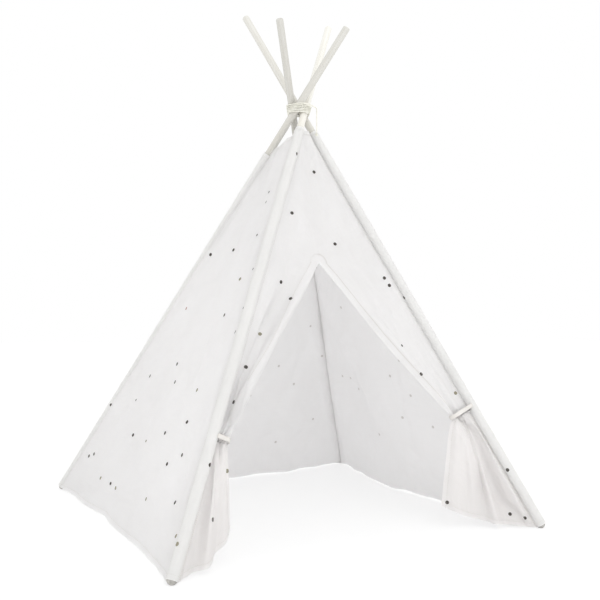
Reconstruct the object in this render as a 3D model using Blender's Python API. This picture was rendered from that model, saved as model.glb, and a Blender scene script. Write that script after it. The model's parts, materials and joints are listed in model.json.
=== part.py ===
"""A children's play teepee: four jointed wooden poles crossed and lashed near the top, and a cotton cover.

The door faces -Y, the origin is on the floor under the middle of the feet, and all sizes are in metres.
"""

import math

import bmesh
import bpy
from mathutils import Matrix, Vector

# Frame: where the poles stand and where they cross
base_width = 1.13           # between the axes of the front feet, and of the back feet
base_depth = 1.13
lash_height = 1.25          # floor to the crossing
lash_forward = 0.10         # the crossing stands this much nearer the door than the middle of the floor
lash_offset = 0.021         # each pole's axis passes this far beside the lashing's axis

# Poles, in two sections joined by a ferrule
pole_length = 1.80
lower_section_length = 0.90
pole_radius = 0.011
pole_edge_round = 0.005
seat_gap = 0.0003           # between pieces that touch
ferrule_length = 0.09
ferrule_wall = 0.0007
ferrule_lip = 0.003         # length of the rolled rim at each end of a ferrule
ferrule_lip_height = 0.0003

# Foot caps
cap_radius = 0.0134
cap_height = 0.016
cap_flat_depth = 0.0015     # how much of the round end is worn flat where it stands
cap_rib_height = 0.0009
cap_rib_length = 0.003

# Sleeves at the corners of the cover
sleeve_cloth = 0.0010
sleeve_play = 0.0005        # between the ferrule and the sleeve round it
sleeve_bottom = 0.018       # above the pole's end, measured along the pole
sleeve_top_drops = {        # below the crossing, measured along the pole
    "front_left": 0.078,
    "front_right": 0.078,
    "back_right": 0.150,
    "back_left": 0.165,
}

# Wall panels
cloth_thickness = 0.0024
hem_rise = 0.0045           # of the hem's middle above the floor
edge_clearance = 0.0011     # between a panel's edge and the sleeve beside it
fold_gap = 0.0005           # between the two halves of a panel at its fold line
panel_sags = {"left": 0.022, "back": 0.110, "right": 0.085, "front": 0.012}
ripple_height = 0.007       # of the soft folds along the hem
ripple_count = 3
panel_columns = 7
panel_rows = 13

# Door: slit, drawn-back edges and hanging flaps
slit_height = 0.767         # floor to the top of the slit
slit_share = 0.42           # of the front panel's width, from the left, at which the slit runs
tie_distances = {"front_left": 0.355, "front_right": 0.395}   # up the pole from its end
tie_reaches = {"front_left": 0.044, "front_right": 0.090}     # from the pole's axis to the bunch's far side
tie_gather_width = 0.034    # of the bunch, across
tie_gather_share = 0.2      # of the cloth's width that stays flat beside the bunch
tie_gather_height = 0.0085  # of the zigzag of cloth inside the tie
tie_loop_radius = 0.0125     # of the tape's end round the bunch
tie_end_gap = 0.0006        # between the tape's sewn ends and the sleeve
tie_loop_room = 0.0024      # between the bunch's far side and the tape
flap_cut_gap = 0.0009       # between the front panel and its hanging flap, inside the tie
tie_hold = 0.0100           # how far above and below its middle the tie keeps the cloth bunched
header_rows = 4
door_rows = 9
door_folds = 3
flap_clearance = 0.0013     # between the bunched cloth and the sleeve
door_edge_sag = 0.012
flap_corner_rises = {"front_left": 0.074, "front_right": 0.067}    # hem corner above the floor
flap_corner_reaches = {"front_left": 0.008, "front_right": 0.034}  # sideways from the bunch's far side
flap_front_reaches = {"front_left": 0.095, "front_right": 0.133}   # the hem's turn, sideways from the foot
flap_back_reaches = {"front_left": 0.035, "front_right": 0.054}    # the hem's turn, behind the foot
flap_hem_curve = 2.5        # how late along the hem it rises to the corner
flap_fold_height = 0.020
flap_folds = 5
flap_spread = 3             # how soon the flap opens out below its tie
flap_columns = 24
flap_rows = 9

# Tie tapes round the gathered flaps
tape_width = 0.014
tape_thickness = 0.0012
tape_steps = 12

# Lashing cord round the crossing
cord_radius = 0.002
lash_turns = 6
lash_pitch = 0.0047
lash_room = 0.0006          # between the cord and the poles
loop_points = 24
lash_end_angle = math.radians(-100)
tail_angle = math.radians(-52)      # where the tail hangs, round the lashing's axis
tail_reach = 0.060                  # from the lashing's axis
tail_lead = 0.016                   # how far the tail runs on before it bends down
tail_drop = 0.075                   # of the tail's end below the crossing
tail_spacing = 0.008        # between points along the tail
knot_radius = 0.0048
knot_length = 0.010

round_sides = 20

corners = {
    "front_left": (-1, -1),
    "front_right": (1, -1),
    "back_right": (1, 1),
    "back_left": (-1, 1),
}

foot_rise = cap_radius - cap_flat_depth
ferrule_bore = pole_radius + seat_gap
ferrule_radius = ferrule_bore + ferrule_wall
sleeve_bore = ferrule_radius + ferrule_lip_height + sleeve_play
sleeve_radius = sleeve_bore + sleeve_cloth
half = 0.5


def clear_scene():
    for thing in list(bpy.data.objects):
        bpy.data.objects.remove(thing)


def make_material(name, colour, roughness, metallic=0):
    material = bpy.data.materials.new(name)
    material.use_nodes = True
    shader = material.node_tree.nodes["Principled BSDF"]
    shader.inputs["Base Color"].default_value = (*colour, 1)
    shader.inputs["Roughness"].default_value = roughness
    shader.inputs["Metallic"].default_value = metallic
    return material


def add_object(name, data, material, parent=None):
    piece = bpy.data.objects.new(name, data)
    bpy.context.scene.collection.objects.link(piece)
    data.materials.append(material)
    if parent:
        piece.parent = parent
    return piece


def mix(a, b, share):
    return a + (b - a) * share


def ease(share):
    """0 to 1 with a level start and end."""
    return share * share * (3 - 2 * share)


# Pole lines
class Pole:
    """The straight line of one pole, from its foot up past the crossing."""

    def __init__(self, name):
        side, end = corners[name]
        self.name = name
        self.foot = Vector((side * base_width / 2, end * base_depth / 2, foot_rise))
        to_lash = Vector((0, -lash_forward)) - self.foot.xy
        heading = math.atan2(to_lash.y, to_lash.x) - math.asin(lash_offset / to_lash.length)
        run = math.sqrt(to_lash.length_squared - lash_offset**2)
        self.crossing = Vector((
            self.foot.x + run * math.cos(heading),
            self.foot.y + run * math.sin(heading),
            lash_height,
        ))
        self.lower_length = (self.crossing - self.foot).length
        self.direction = (self.crossing - self.foot).normalized()
        self.hem = (hem_rise - foot_rise) / self.direction.z
        self.sleeve_top = self.lower_length - sleeve_top_drops[name]
        self.hinge = None

    def at(self, distance):
        return self.foot + self.direction * distance

    def add_hinge(self):
        """An empty at the crossing, on the fold's axis, with its Z up the pole."""
        self.hinge = bpy.data.objects.new(f"{self.name}_hinge", None)
        bpy.context.scene.collection.objects.link(self.hinge)
        turn = Vector((0, 0, 1)).rotation_difference(self.direction)
        self.hinge.matrix_world = Matrix.Translation(self.crossing) @ turn.to_matrix().to_4x4()
        bpy.context.view_layer.update()


# Turned pieces on a pole
def spin_profile(profile, closed, sides=round_sides):
    """A mesh from a profile of (radius, height) points turned round Z."""
    shape = bmesh.new()
    points = [shape.verts.new((radius, 0, height)) for radius, height in profile]
    pairs = list(zip(points, points[1:]))
    if closed:
        pairs.append((points[-1], points[0]))
    edges = [shape.edges.new(pair) for pair in pairs]
    bmesh.ops.spin(shape, geom=points + edges, cent=(0, 0, 0), axis=(0, 0, 1), angle=math.tau, steps=sides)
    bmesh.ops.remove_doubles(shape, verts=shape.verts, dist=seat_gap / 10)
    bmesh.ops.recalc_face_normals(shape, faces=shape.faces)
    mesh = bpy.data.meshes.new("turned")
    shape.to_mesh(mesh)
    shape.free()
    return mesh


def add_turned(name, profile, closed, pole, distance, material, sides=round_sides):
    """A turned piece whose height zero lies at a distance up the pole."""
    mesh = spin_profile(profile, closed, sides)
    mesh.shade_smooth()
    mesh.set_sharp_from_angle(angle=math.radians(40))
    piece = add_object(name, mesh, material, pole.hinge)
    piece.location = (0, 0, distance - pole.lower_length)
    return piece


def rounded_end(radius, height, rounding, upward=1, steps=3):
    """Profile points of a rounded edge that closes at the axis."""
    points = []
    for step in range(steps + 1):
        angle = math.pi / 2 * step / steps
        points.append((radius - rounding * (1 - math.cos(angle)), height - upward * rounding * (1 - math.sin(angle))))
    return points + [(0, height)]


def add_pole_sections(pole, wood, metal):
    joint = lower_section_length
    add_turned(
        f"pole_lower_{pole.name}",
        [(0, 0), (pole_radius, 0), (pole_radius, joint), (0, joint)],
        False, pole, 0, wood,
    )
    upper_start = joint + seat_gap
    upper_length = pole_length - upper_start
    add_turned(
        f"pole_upper_{pole.name}",
        [(0, 0), (pole_radius, 0), *rounded_end(pole_radius, upper_length, pole_edge_round)],
        False, pole, upper_start, wood,
    )
    end = ferrule_length / 2
    rim = ferrule_radius + ferrule_lip_height
    add_turned(
        f"ferrule_{pole.name}",
        [
            (ferrule_bore, -end), (rim, -end), (rim, ferrule_lip - end), (ferrule_radius, ferrule_lip - end),
            (ferrule_radius, end - ferrule_lip), (rim, end - ferrule_lip), (rim, end), (ferrule_bore, end),
        ],
        True, pole, joint, metal,
    )


def add_foot_cap(pole, rubber):
    """A rubber cup round the pole's end, with a ball-shaped tip worn flat where it stands."""
    bore = pole_radius + seat_gap
    steps = 6
    ball = [
        (cap_radius * math.sin(math.pi / 2 * step / steps), -cap_radius * math.cos(math.pi / 2 * step / steps))
        for step in range(steps + 1)
    ]
    groove = cap_radius - cap_rib_height
    profile = [
        *ball,
        (cap_radius, cap_rib_length),
        (groove, cap_rib_length),
        (groove, 2 * cap_rib_length),
        (cap_radius, 2 * cap_rib_length),
        (cap_radius, cap_height),
        (bore, cap_height),
        (bore, -seat_gap),
        (0, -seat_gap),
    ]
    mesh = spin_profile(profile, False)
    shape = bmesh.new()
    shape.from_mesh(mesh)
    to_world = pole.hinge.matrix_world @ Matrix.Translation((0, 0, -pole.lower_length))
    floor_point = to_world.inverted() @ Vector((pole.foot.x, pole.foot.y, 0))
    floor_normal = (to_world.inverted().to_3x3() @ Vector((0, 0, -1))).normalized()
    cut = bmesh.ops.bisect_plane(
        shape, geom=shape.verts[:] + shape.edges[:] + shape.faces[:],
        plane_co=floor_point, plane_no=floor_normal, clear_outer=True,
    )
    rim = [item for item in cut["geom_cut"] if isinstance(item, bmesh.types.BMEdge)]
    bmesh.ops.contextual_create(shape, geom=rim)
    bmesh.ops.recalc_face_normals(shape, faces=shape.faces)
    shape.to_mesh(mesh)
    shape.free()
    mesh.shade_smooth()
    mesh.set_sharp_from_angle(angle=math.radians(40))
    piece = add_object(f"foot_cap_{pole.name}", mesh, rubber, pole.hinge)
    piece.location = (0, 0, -pole.lower_length)


def add_sleeve(pole, cloth):
    """The cloth tube that the pole slides into, from above the foot cap to below the crossing."""
    length = pole.sleeve_top - sleeve_bottom
    add_turned(
        f"sleeve_{pole.name}",
        [(sleeve_bore, 0), (sleeve_radius, 0), (sleeve_radius, length), (sleeve_bore, length)],
        True, pole, sleeve_bottom, cloth,
    )


# Cloth between the poles
def add_cloth(name, rows, pole, cloth):
    """A sheet through rows of world points, as a solid of the cloth's thickness, hung on a pole's hinge."""
    shape = bmesh.new()
    grid = [[shape.verts.new(point) for point in row] for row in rows]
    for low, high in zip(grid, grid[1:]):
        for column in range(len(low) - 1):
            shape.faces.new((low[column], low[column + 1], high[column + 1], high[column]))
    mesh = bpy.data.meshes.new(name)
    shape.to_mesh(mesh)
    shape.free()
    mesh.transform(pole.hinge.matrix_world.inverted())
    mesh.shade_smooth()
    piece = add_object(name, mesh, cloth, pole.hinge)
    solid = piece.modifiers.new("Thickness", "SOLIDIFY")
    solid.thickness = cloth_thickness
    solid.offset = 0
    return piece


class Wall:
    """The cover between two poles. u runs from the first sleeve to the second, v from the hem to the top edge."""

    def __init__(self, name, first, second):
        self.name = name
        self.first = first
        self.second = second
        self.fold_share = first.lower_length / (first.lower_length + second.lower_length)
        if name == "front":
            self.fold_share = slit_share
        middle = (first.foot + second.foot) / 2
        inward = Vector((0, -lash_forward, 0)) - middle
        along = (second.foot - first.foot).normalized()
        self.inward = inward - along * inward.dot(along)
        self.inward.z = 0
        self.inward.normalize()

    def edge(self, pole, v):
        return pole.at(mix(pole.hem, pole.sleeve_top, v))

    def point(self, u, v):
        a = self.edge(self.first, v)
        b = self.edge(self.second, v)
        flat = mix(a, b, u)
        arch = math.sin(math.pi * u)
        ripple = math.sin(math.tau * ripple_count * u) * arch * (1 - v) ** 2
        depth = panel_sags[self.name] * arch * (1 - v) + ripple_height * ripple
        return flat + self.inward * depth

    def edge_share(self, pole, v):
        """How much of u the sleeve on this pole takes at this height."""
        span = self.edge(self.second, v) - self.edge(self.first, v)
        crossways = math.sqrt(1 - pole.direction.dot(span.normalized()) ** 2)
        return (sleeve_radius + edge_clearance) / (span.length * crossways)

    def fold_gap_share(self, v):
        span = (self.edge(self.second, v) - self.edge(self.first, v)).length
        return fold_gap / 2 / span


def add_wall_halves(wall, names, cloth):
    """The panel's two halves, which meet at its fold line."""
    first_rows = []
    second_rows = []
    for row in range(panel_rows + 1):
        v = row / panel_rows
        gap = wall.fold_gap_share(v)
        start = wall.edge_share(wall.first, v)
        end = 1 - wall.edge_share(wall.second, v)
        shares = [column / panel_columns for column in range(panel_columns + 1)]
        first_rows.append([wall.point(mix(start, wall.fold_share - gap, share), v) for share in shares])
        second_rows.append([wall.point(mix(wall.fold_share + gap, end, share), v) for share in shares])
    add_cloth(names[0], first_rows, wall.first, cloth)
    add_cloth(names[1], second_rows, wall.second, cloth)


# Door
class DoorSide:
    """One half of the front panel, from its pole to the slit, with its flap drawn back to the pole."""

    def __init__(self, wall, pole):
        self.wall = wall
        self.pole = pole
        self.is_left = pole is wall.first
        self.tie = pole.at(tie_distances[pole.name])
        self.slit_v = self.height_share(slit_height)
        self.tie_v = self.height_share(self.tie.z)
        to_middle = (wall.point(half, self.tie_v) - self.tie)
        self.across = (to_middle - pole.direction * to_middle.dot(pole.direction)).normalized()
        self.outward = pole.direction.cross(self.across)
        if self.outward.dot(wall.inward) > 0:
            self.outward = -self.outward

    def height_share(self, height):
        """The wall's v at a height above the floor, on this pole."""
        top = self.pole.at(self.pole.sleeve_top).z
        return (height - hem_rise) / (top - hem_rise)

    def middle(self, v):
        gap = self.wall.fold_gap_share(v)
        return self.wall.point(self.wall.fold_share + (-gap if self.is_left else gap), v)

    def wall_point(self, share, v):
        """A point of the header, from the sleeve (share 0) to the fold line (share 1)."""
        inset = self.wall.edge_share(self.pole, v)
        gap = self.wall.fold_gap_share(v)
        if self.is_left:
            return self.wall.point(mix(inset, self.wall.fold_share - gap, share), v)
        return self.wall.point(mix(1 - inset, self.wall.fold_share + gap, share), v)

    def gather(self, share):
        """A point of the cloth at the tie, as (across, outward) from the pole's axis."""
        start = sleeve_radius + flap_clearance
        end = tie_reaches[self.pole.name]
        bunch = max(start, end - tie_gather_width)
        if share < tie_gather_share:
            return mix(start, bunch, share / tie_gather_share), 0
        part_way = (share - tie_gather_share) / (1 - tie_gather_share)
        wave = math.sin(math.tau * door_folds * half * part_way) * math.sin(math.pi * part_way)
        return mix(bunch, end, part_way), tie_gather_height * wave

    def tied_point(self, share, level):
        """A point of the bunched cloth, at a level above the tie's middle along the pole."""
        across, outward = self.gather(share)
        return self.tie + self.across * across + self.outward * outward + self.pole.direction * level

    def drawn_point(self, share, q):
        """A point of the drawn-back edge. q runs from the top of the slit (0) down to the tie (1)."""
        v = mix(self.slit_v, self.tie_v, q)
        near = self.wall_point(0, v)
        top = self.middle(self.slit_v)
        bottom = self.tie + self.across * tie_reaches[self.pole.name]
        far = mix(top, bottom, q) - self.outward * door_edge_sag * math.sin(math.pi * q)
        fold = self.gather(share)[1] * ease(q)
        flat = mix(near, far, share) + self.outward * fold
        return mix(flat, self.tied_point(share, tie_hold), q**6)

    def header_and_edge_rows(self, columns):
        shares = [column / columns for column in range(columns + 1)]
        rows = []
        for row in range(header_rows):
            v = mix(1, self.slit_v, row / header_rows)
            rows.append([self.wall_point(share, v) for share in shares])
        for row in range(door_rows + 1):
            rows.append([self.drawn_point(share, row / door_rows) for share in shares])
        rows.append([self.tied_point(share, flap_cut_gap / 2) for share in shares])
        return rows

    def flap_point(self, share, q):
        """A point of the hanging flap. q runs from the tie (0) down to the hem (1)."""
        axis = self.pole.at(mix(tie_distances[self.pole.name], self.pole.hem, q))
        along = Vector((1 if self.is_left else -1, 0, 0))
        crossways = math.sqrt(1 - self.pole.direction.x ** 2)
        start = axis + along * (sleeve_radius + flap_clearance) / crossways
        corner = self.tie + self.across * tie_reaches[self.pole.name]
        corner += along * flap_corner_reaches[self.pole.name] * q
        corner.z = mix(self.tie.z, flap_corner_rises[self.pole.name], q)
        turn = axis + along * flap_front_reaches[self.pole.name] * q
        turn.y += flap_back_reaches[self.pole.name] * q
        curve = mix(mix(start, turn, share), mix(turn, corner, share), share)
        curve.z = mix(start.z, corner.z, share**flap_hem_curve)
        fold = flap_fold_height * math.sin(math.tau * flap_folds * half * share) * math.sin(math.pi * share)
        curve += self.outward.xy.to_3d().normalized() * fold * ease(q)
        return mix(self.tied_point(share, -tie_hold), curve, ease(min(1, q * flap_spread)))

    def flap_rows(self):
        shares = [column / flap_columns for column in range(flap_columns + 1)]
        rows = [[self.tied_point(share, -flap_cut_gap / 2) for share in shares]]
        for row in range(flap_rows + 1):
            rows.append([self.flap_point(share, row / flap_rows) for share in shares])
        return rows

    def tape_route(self):
        """The tape's inner line as (across, outward): off the sleeve, round the bunch and back to the sleeve."""
        reach = sleeve_radius + tie_end_gap
        near = math.sqrt(reach**2 - tie_loop_radius**2)
        centre = tie_reaches[self.pole.name] + tie_loop_room - tie_loop_radius
        route = [(near, tie_loop_radius, math.pi / 2)]
        for step in range(tape_steps + 1):
            angle = mix(math.pi / 2, -math.pi / 2, step / tape_steps)
            route.append((
                centre + tie_loop_radius * math.cos(angle),
                tie_loop_radius * math.sin(angle),
                angle,
            ))
        return route + [(near, -tie_loop_radius, -math.pi / 2)]

    def add_tape(self, name, cloth):
        """The tape round the bunched cloth. Both its ends are sewn to the sleeve."""
        low, high = -tape_width / 2, tape_width / 2
        shape = bmesh.new()
        rings = []
        for x, y, angle in self.tape_route():
            ring = []
            for thick, level in ((0, low), (tape_thickness, low), (tape_thickness, high), (0, high)):
                place = self.across * (x + thick * math.cos(angle)) + self.outward * (y + thick * math.sin(angle))
                ring.append(shape.verts.new(self.tie + place + self.pole.direction * level))
            rings.append(ring)
        for ring, following in zip(rings, rings[1:]):
            for corner, after in zip(range(4), (1, 2, 3, 0)):
                shape.faces.new((ring[corner], ring[after], following[after], following[corner]))
        shape.faces.new(rings[0])
        shape.faces.new(rings[-1])
        bmesh.ops.recalc_face_normals(shape, faces=shape.faces)
        mesh = bpy.data.meshes.new(name)
        shape.to_mesh(mesh)
        shape.free()
        mesh.transform(self.pole.hinge.matrix_world.inverted())
        add_object(name, mesh, cloth, self.pole.hinge)


# Lashing
def lashing_points(poles):
    """The cord's route: taut turns round all four poles, climbing one pitch a turn."""
    wood_reach = max(pole_radius / pole.direction.z for pole in poles)
    reach = wood_reach + lash_room + cord_radius
    points = []
    total = lash_turns * loop_points
    for step in range(total + 1):
        angle = lash_end_angle + math.tau * (step - total) / loop_points
        height = lash_height + lash_pitch * (step / loop_points - lash_turns / 2)
        outward = Vector((math.cos(angle), math.sin(angle)))
        centres = []
        for pole in poles:
            rise = (height - lash_height) / pole.direction.z
            centres.append((pole.crossing + pole.direction * rise).xy)
        touched = max(centres, key=lambda centre: centre.dot(outward))
        place = touched + outward * reach
        points.append(Vector((place.x, place.y, height)))
    return points


def print_least_gap(points):
    """The least space between turns of the winding, surface to surface."""
    apart = loop_points // 2
    least = min(
        segment_distance(points[i], points[i + 1], points[j], points[j + 1])
        for i in range(len(points) - 1)
        for j in range(i + apart, len(points) - 1)
    )
    print("least gap between the lashing's turns, in mm:", round((least - 2 * cord_radius) * 1000, 2))


def segment_distance(a, b, c, d, samples=6):
    """The least distance between two short segments, from samples along each."""
    return min(
        (mix(a, b, i / samples) - mix(c, d, j / samples)).length
        for i in range(samples + 1)
        for j in range(samples + 1)
    )


def add_cord(name, points, cloth, resolution):
    curve = bpy.data.curves.new(name, "CURVE")
    curve.dimensions = "3D"
    curve.bevel_depth = cord_radius
    curve.bevel_resolution = resolution
    curve.use_fill_caps = True
    spline = curve.splines.new("POLY")
    spline.points.add(len(points) - 1)
    for spot, place in zip(spline.points, points):
        spot.co = (*place, 1)
    return add_object(name, curve, cloth)


def straight_ends(points):
    """The same route with each end carried on straight for one cord diameter."""
    first = points[0] + (points[0] - points[1]).normalized() * 2 * cord_radius
    last = points[-1] + (points[-1] - points[-2]).normalized() * 2 * cord_radius
    return [first, *points, last]


def tail_route(start, heading, hang):
    """A smooth run from the winding's end, over to the hanging place and straight down."""
    bend = [start]
    control = [start, start + heading * tail_lead, hang + Vector((0, 0, tail_lead * half)), hang]
    steps = 10
    for step in range(1, steps + 1):
        t = step / steps
        a, b, c, d = control
        ab, bc, cd = mix(a, b, t), mix(b, c, t), mix(c, d, t)
        bend.append(mix(mix(ab, bc, t), mix(bc, cd, t), t))
    end = Vector((hang.x, hang.y, lash_height - tail_drop))
    runs = max(1, round((hang.z - end.z) / tail_spacing))
    return bend + [mix(hang, end, step / runs) for step in range(1, runs + 1)]


def add_lashing(poles, cord):
    points = straight_ends(lashing_points(poles))
    print_least_gap(points)
    add_cord("lashing", points, cord, 1)
    heading = (points[-1] - points[-2]).normalized()
    start = points[-1] + heading * seat_gap
    hang = Vector((
        math.cos(tail_angle) * tail_reach,
        math.sin(tail_angle) * tail_reach - lash_forward,
        start.z - tail_lead,
    ))
    route = tail_route(start, heading, hang)
    add_cord("lashing_tail", route, cord, 2)
    length = sum((b - a).length for a, b in zip(route, route[1:]))
    print("lashing tail, in mm:", round(length * 1000, 1))
    return route[-1]


def add_knot(below, cord):
    """The stopper knot on the tail's end."""
    steps = 6
    profile = [(0, -knot_length)]
    for step in range(1, steps):
        angle = math.pi * step / steps
        swell = math.sin(angle) ** half
        profile.append((knot_radius * swell, -knot_length * (1 + math.cos(angle)) / 2))
    profile.append((0, 0))
    mesh = spin_profile(profile, False, 12)
    mesh.shade_smooth()
    knot = add_object("lashing_tail_knot", mesh, cord)
    knot.location = below - Vector((0, 0, seat_gap))


def build():
    clear_scene()
    wood = make_material("pole_wood", (0.80, 0.70, 0.55), 0.6)
    metal = make_material("ferrule_metal", (0.72, 0.72, 0.72), 0.35, 1)
    rubber = make_material("cap_rubber", (0.33, 0.33, 0.33), 0.8)
    cloth = make_material("cover_cotton", (0.90, 0.89, 0.86), 0.95)
    tape = make_material("tie_tape", (0.88, 0.86, 0.82), 0.9)
    cord = make_material("lashing_cord", (0.84, 0.80, 0.70), 0.9)

    poles = {name: Pole(name) for name in corners}
    for pole in poles.values():
        pole.add_hinge()
        add_pole_sections(pole, wood, metal)
        add_foot_cap(pole, rubber)
        add_sleeve(pole, cloth)

    left = Wall("left", poles["back_left"], poles["front_left"])
    back = Wall("back", poles["back_left"], poles["back_right"])
    right = Wall("right", poles["back_right"], poles["front_right"])
    front = Wall("front", poles["front_left"], poles["front_right"])
    add_wall_halves(left, ("left_panel_back_half", "left_panel_front_half"), cloth)
    add_wall_halves(back, ("back_panel_left_half", "back_panel_right_half"), cloth)
    add_wall_halves(right, ("right_panel_back_half", "right_panel_front_half"), cloth)

    for side, pole in (("left", poles["front_left"]), ("right", poles["front_right"])):
        door = DoorSide(front, pole)
        add_cloth(f"front_panel_{side}_half", door.header_and_edge_rows(panel_columns), pole, cloth)
        add_cloth(f"door_flap_{side}", door.flap_rows(), pole, cloth)
        door.add_tape(f"door_tie_{side}", tape)

    tail_end = add_lashing(list(poles.values()), cord)
    add_knot(tail_end, cord)


build()
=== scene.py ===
# %% [markdown]
# # A children's play teepee
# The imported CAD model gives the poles, caps and ferrules their exact places. This script dresses that
# frame: it hangs the cotton cover on it, ties the door back, winds the lashing, and gives every piece a
# finish. All sizes are in metres. The door faces -Y and the floor is at Z = 0.

# %% Load the frame
import json
import math
import random

import bpy
import numpy as np
from mathutils import Matrix, Vector, noise
from mathutils.bvhtree import BVHTree

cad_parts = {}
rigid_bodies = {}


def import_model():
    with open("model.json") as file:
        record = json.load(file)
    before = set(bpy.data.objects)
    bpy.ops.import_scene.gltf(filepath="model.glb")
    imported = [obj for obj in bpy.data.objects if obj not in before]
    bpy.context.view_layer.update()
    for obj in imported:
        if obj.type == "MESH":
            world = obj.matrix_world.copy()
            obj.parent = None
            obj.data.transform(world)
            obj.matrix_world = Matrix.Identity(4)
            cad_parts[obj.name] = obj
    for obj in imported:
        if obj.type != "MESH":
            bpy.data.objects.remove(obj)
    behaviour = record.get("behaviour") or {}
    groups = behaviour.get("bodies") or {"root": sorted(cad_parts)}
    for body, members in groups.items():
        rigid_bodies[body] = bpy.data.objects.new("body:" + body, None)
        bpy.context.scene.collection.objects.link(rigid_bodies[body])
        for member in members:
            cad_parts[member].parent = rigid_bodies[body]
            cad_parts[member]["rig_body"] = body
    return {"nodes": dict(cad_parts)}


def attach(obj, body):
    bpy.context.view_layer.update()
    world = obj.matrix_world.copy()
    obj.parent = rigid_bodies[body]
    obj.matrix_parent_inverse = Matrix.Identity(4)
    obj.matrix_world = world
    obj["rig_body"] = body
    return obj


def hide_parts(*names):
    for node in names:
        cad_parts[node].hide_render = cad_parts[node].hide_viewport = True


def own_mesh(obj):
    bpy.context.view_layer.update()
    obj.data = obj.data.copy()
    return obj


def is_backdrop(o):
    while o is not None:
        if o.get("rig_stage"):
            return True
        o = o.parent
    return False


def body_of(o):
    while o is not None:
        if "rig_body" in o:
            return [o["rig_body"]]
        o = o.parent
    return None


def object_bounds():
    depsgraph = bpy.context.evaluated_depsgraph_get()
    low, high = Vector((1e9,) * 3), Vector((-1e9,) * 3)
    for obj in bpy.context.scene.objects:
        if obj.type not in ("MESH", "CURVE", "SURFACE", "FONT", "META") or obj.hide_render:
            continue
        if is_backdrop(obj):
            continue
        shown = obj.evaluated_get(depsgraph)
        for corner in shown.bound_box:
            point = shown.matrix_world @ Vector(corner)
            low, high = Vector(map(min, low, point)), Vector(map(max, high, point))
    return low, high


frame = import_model()
cad_low, cad_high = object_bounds()

# %% [markdown]
# ## Camera
# The photograph was taken from the front left, a little above the middle of the door and almost level.
# A camera that is placed from three directions (right, up and backwards) needs no rotation angles, and
# the same three directions later tell through which point of the picture a printed dot is seen.

# %% Camera
camera_place = Vector((-1.220, -2.403, 0.638))
camera_yaw = 0.4903         # to the right of straight ahead, in radians
camera_pitch = 0.0088
camera_roll = 0.0087
picture_width = 600
focal_share = 839.7 / picture_width     # focal length as a share of the picture's width
sensor_width = 36           # in millimetres, as Blender counts it

forward = Vector((
    math.sin(camera_yaw) * math.cos(camera_pitch),
    math.cos(camera_yaw) * math.cos(camera_pitch),
    math.sin(camera_pitch),
))
level_right = Vector((math.cos(camera_yaw), -math.sin(camera_yaw), 0))
level_up = level_right.cross(forward)
camera_right = level_right * math.cos(camera_roll) + level_up * math.sin(camera_roll)
camera_up = level_up * math.cos(camera_roll) - level_right * math.sin(camera_roll)


def show(thing):
    bpy.context.scene.collection.objects.link(thing)
    return thing


camera_data = bpy.data.cameras.new("camera")
camera_data.sensor_width = sensor_width
camera_data.lens = focal_share * sensor_width
camera = show(bpy.data.objects.new("camera", camera_data))
turn = Matrix((camera_right, camera_up, -forward)).transposed()
camera.matrix_world = Matrix.Translation(camera_place) @ turn.to_4x4()
bpy.context.scene.camera = camera
print("lens in mm:", round(camera_data.lens, 1))

# %% [markdown]
# ## The lines of the frame
# Cloth and cord follow the poles, so the script first repeats the sizes from which the poles were
# placed. Each pole is a straight line from its foot through its crossing at the lashing.

# %% Sizes of the frame
base_width = 1.13           # from foot to foot, between the poles' middle lines
base_depth = 1.13
lash_height = 1.25          # of the crossing above the floor
lash_forward = 0.10         # of the crossing before the middle of the base
lash_offset = 0.021         # how far each pole passes beside the crossing's middle
pole_radius = 0.011
seat_gap = 0.0003
foot_rise = 0.0119          # of a pole's end above the floor
# How far below the crossing each sleeve ends, along its pole.
sleeve_top_drops = {"front_left": 0.078, "front_right": 0.078, "back_right": 0.150, "back_left": 0.165}
hem_rise = 0.0045           # of the cover's hem above the floor
corners = {"front_left": (-1, -1), "front_right": (1, -1), "back_right": (1, 1), "back_left": (-1, 1)}


def mix(a, b, share):
    return a + (b - a) * share


def ease(share):
    """0 to 1 with a level start and end."""
    share = min(1, max(0, share))
    return share * share * (3 - 2 * share)


class Pole:
    """The straight line of one pole, from its foot up past the crossing."""

    def __init__(self, name):
        side, end = corners[name]
        self.name = name
        self.foot = Vector((side * base_width / 2, end * base_depth / 2, foot_rise))
        to_lash = Vector((0, -lash_forward)) - self.foot.xy
        heading = math.atan2(to_lash.y, to_lash.x) - math.asin(lash_offset / to_lash.length)
        run = math.sqrt(to_lash.length_squared - lash_offset**2)
        self.crossing = Vector((
            self.foot.x + run * math.cos(heading), self.foot.y + run * math.sin(heading), lash_height,
        ))
        self.lower_length = (self.crossing - self.foot).length
        self.direction = (self.crossing - self.foot).normalized()
        self.hem = (hem_rise - foot_rise) / self.direction.z
        self.sleeve_top = self.lower_length - sleeve_top_drops[name]
        self.turn = Vector((0, 0, 1)).rotation_difference(self.direction)

    def at(self, distance):
        return self.foot + self.direction * distance

    def around(self, distance, angle, radius):
        """A point on a circle round the pole."""
        flat = Vector((math.cos(angle), math.sin(angle), 0)) * radius
        return self.at(distance) + self.turn @ flat


poles = {name: Pole(name) for name in corners}
for pole in poles.values():
    print(pole.name, "tilt in degrees:", round(math.degrees(math.acos(pole.direction.z)), 1))

# %% [markdown]
# ## A small kit for nodes
# Shaders, Geometry Nodes and the light of the room are all trees of nodes, so one class builds them all.
# It wraps a node's output in a Value, and `1 - mask` or `grain * 0.2 + 0.5` then adds the Math nodes by
# itself. Colours are mixed with Mix nodes, because a Math node would turn them grey.

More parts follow.
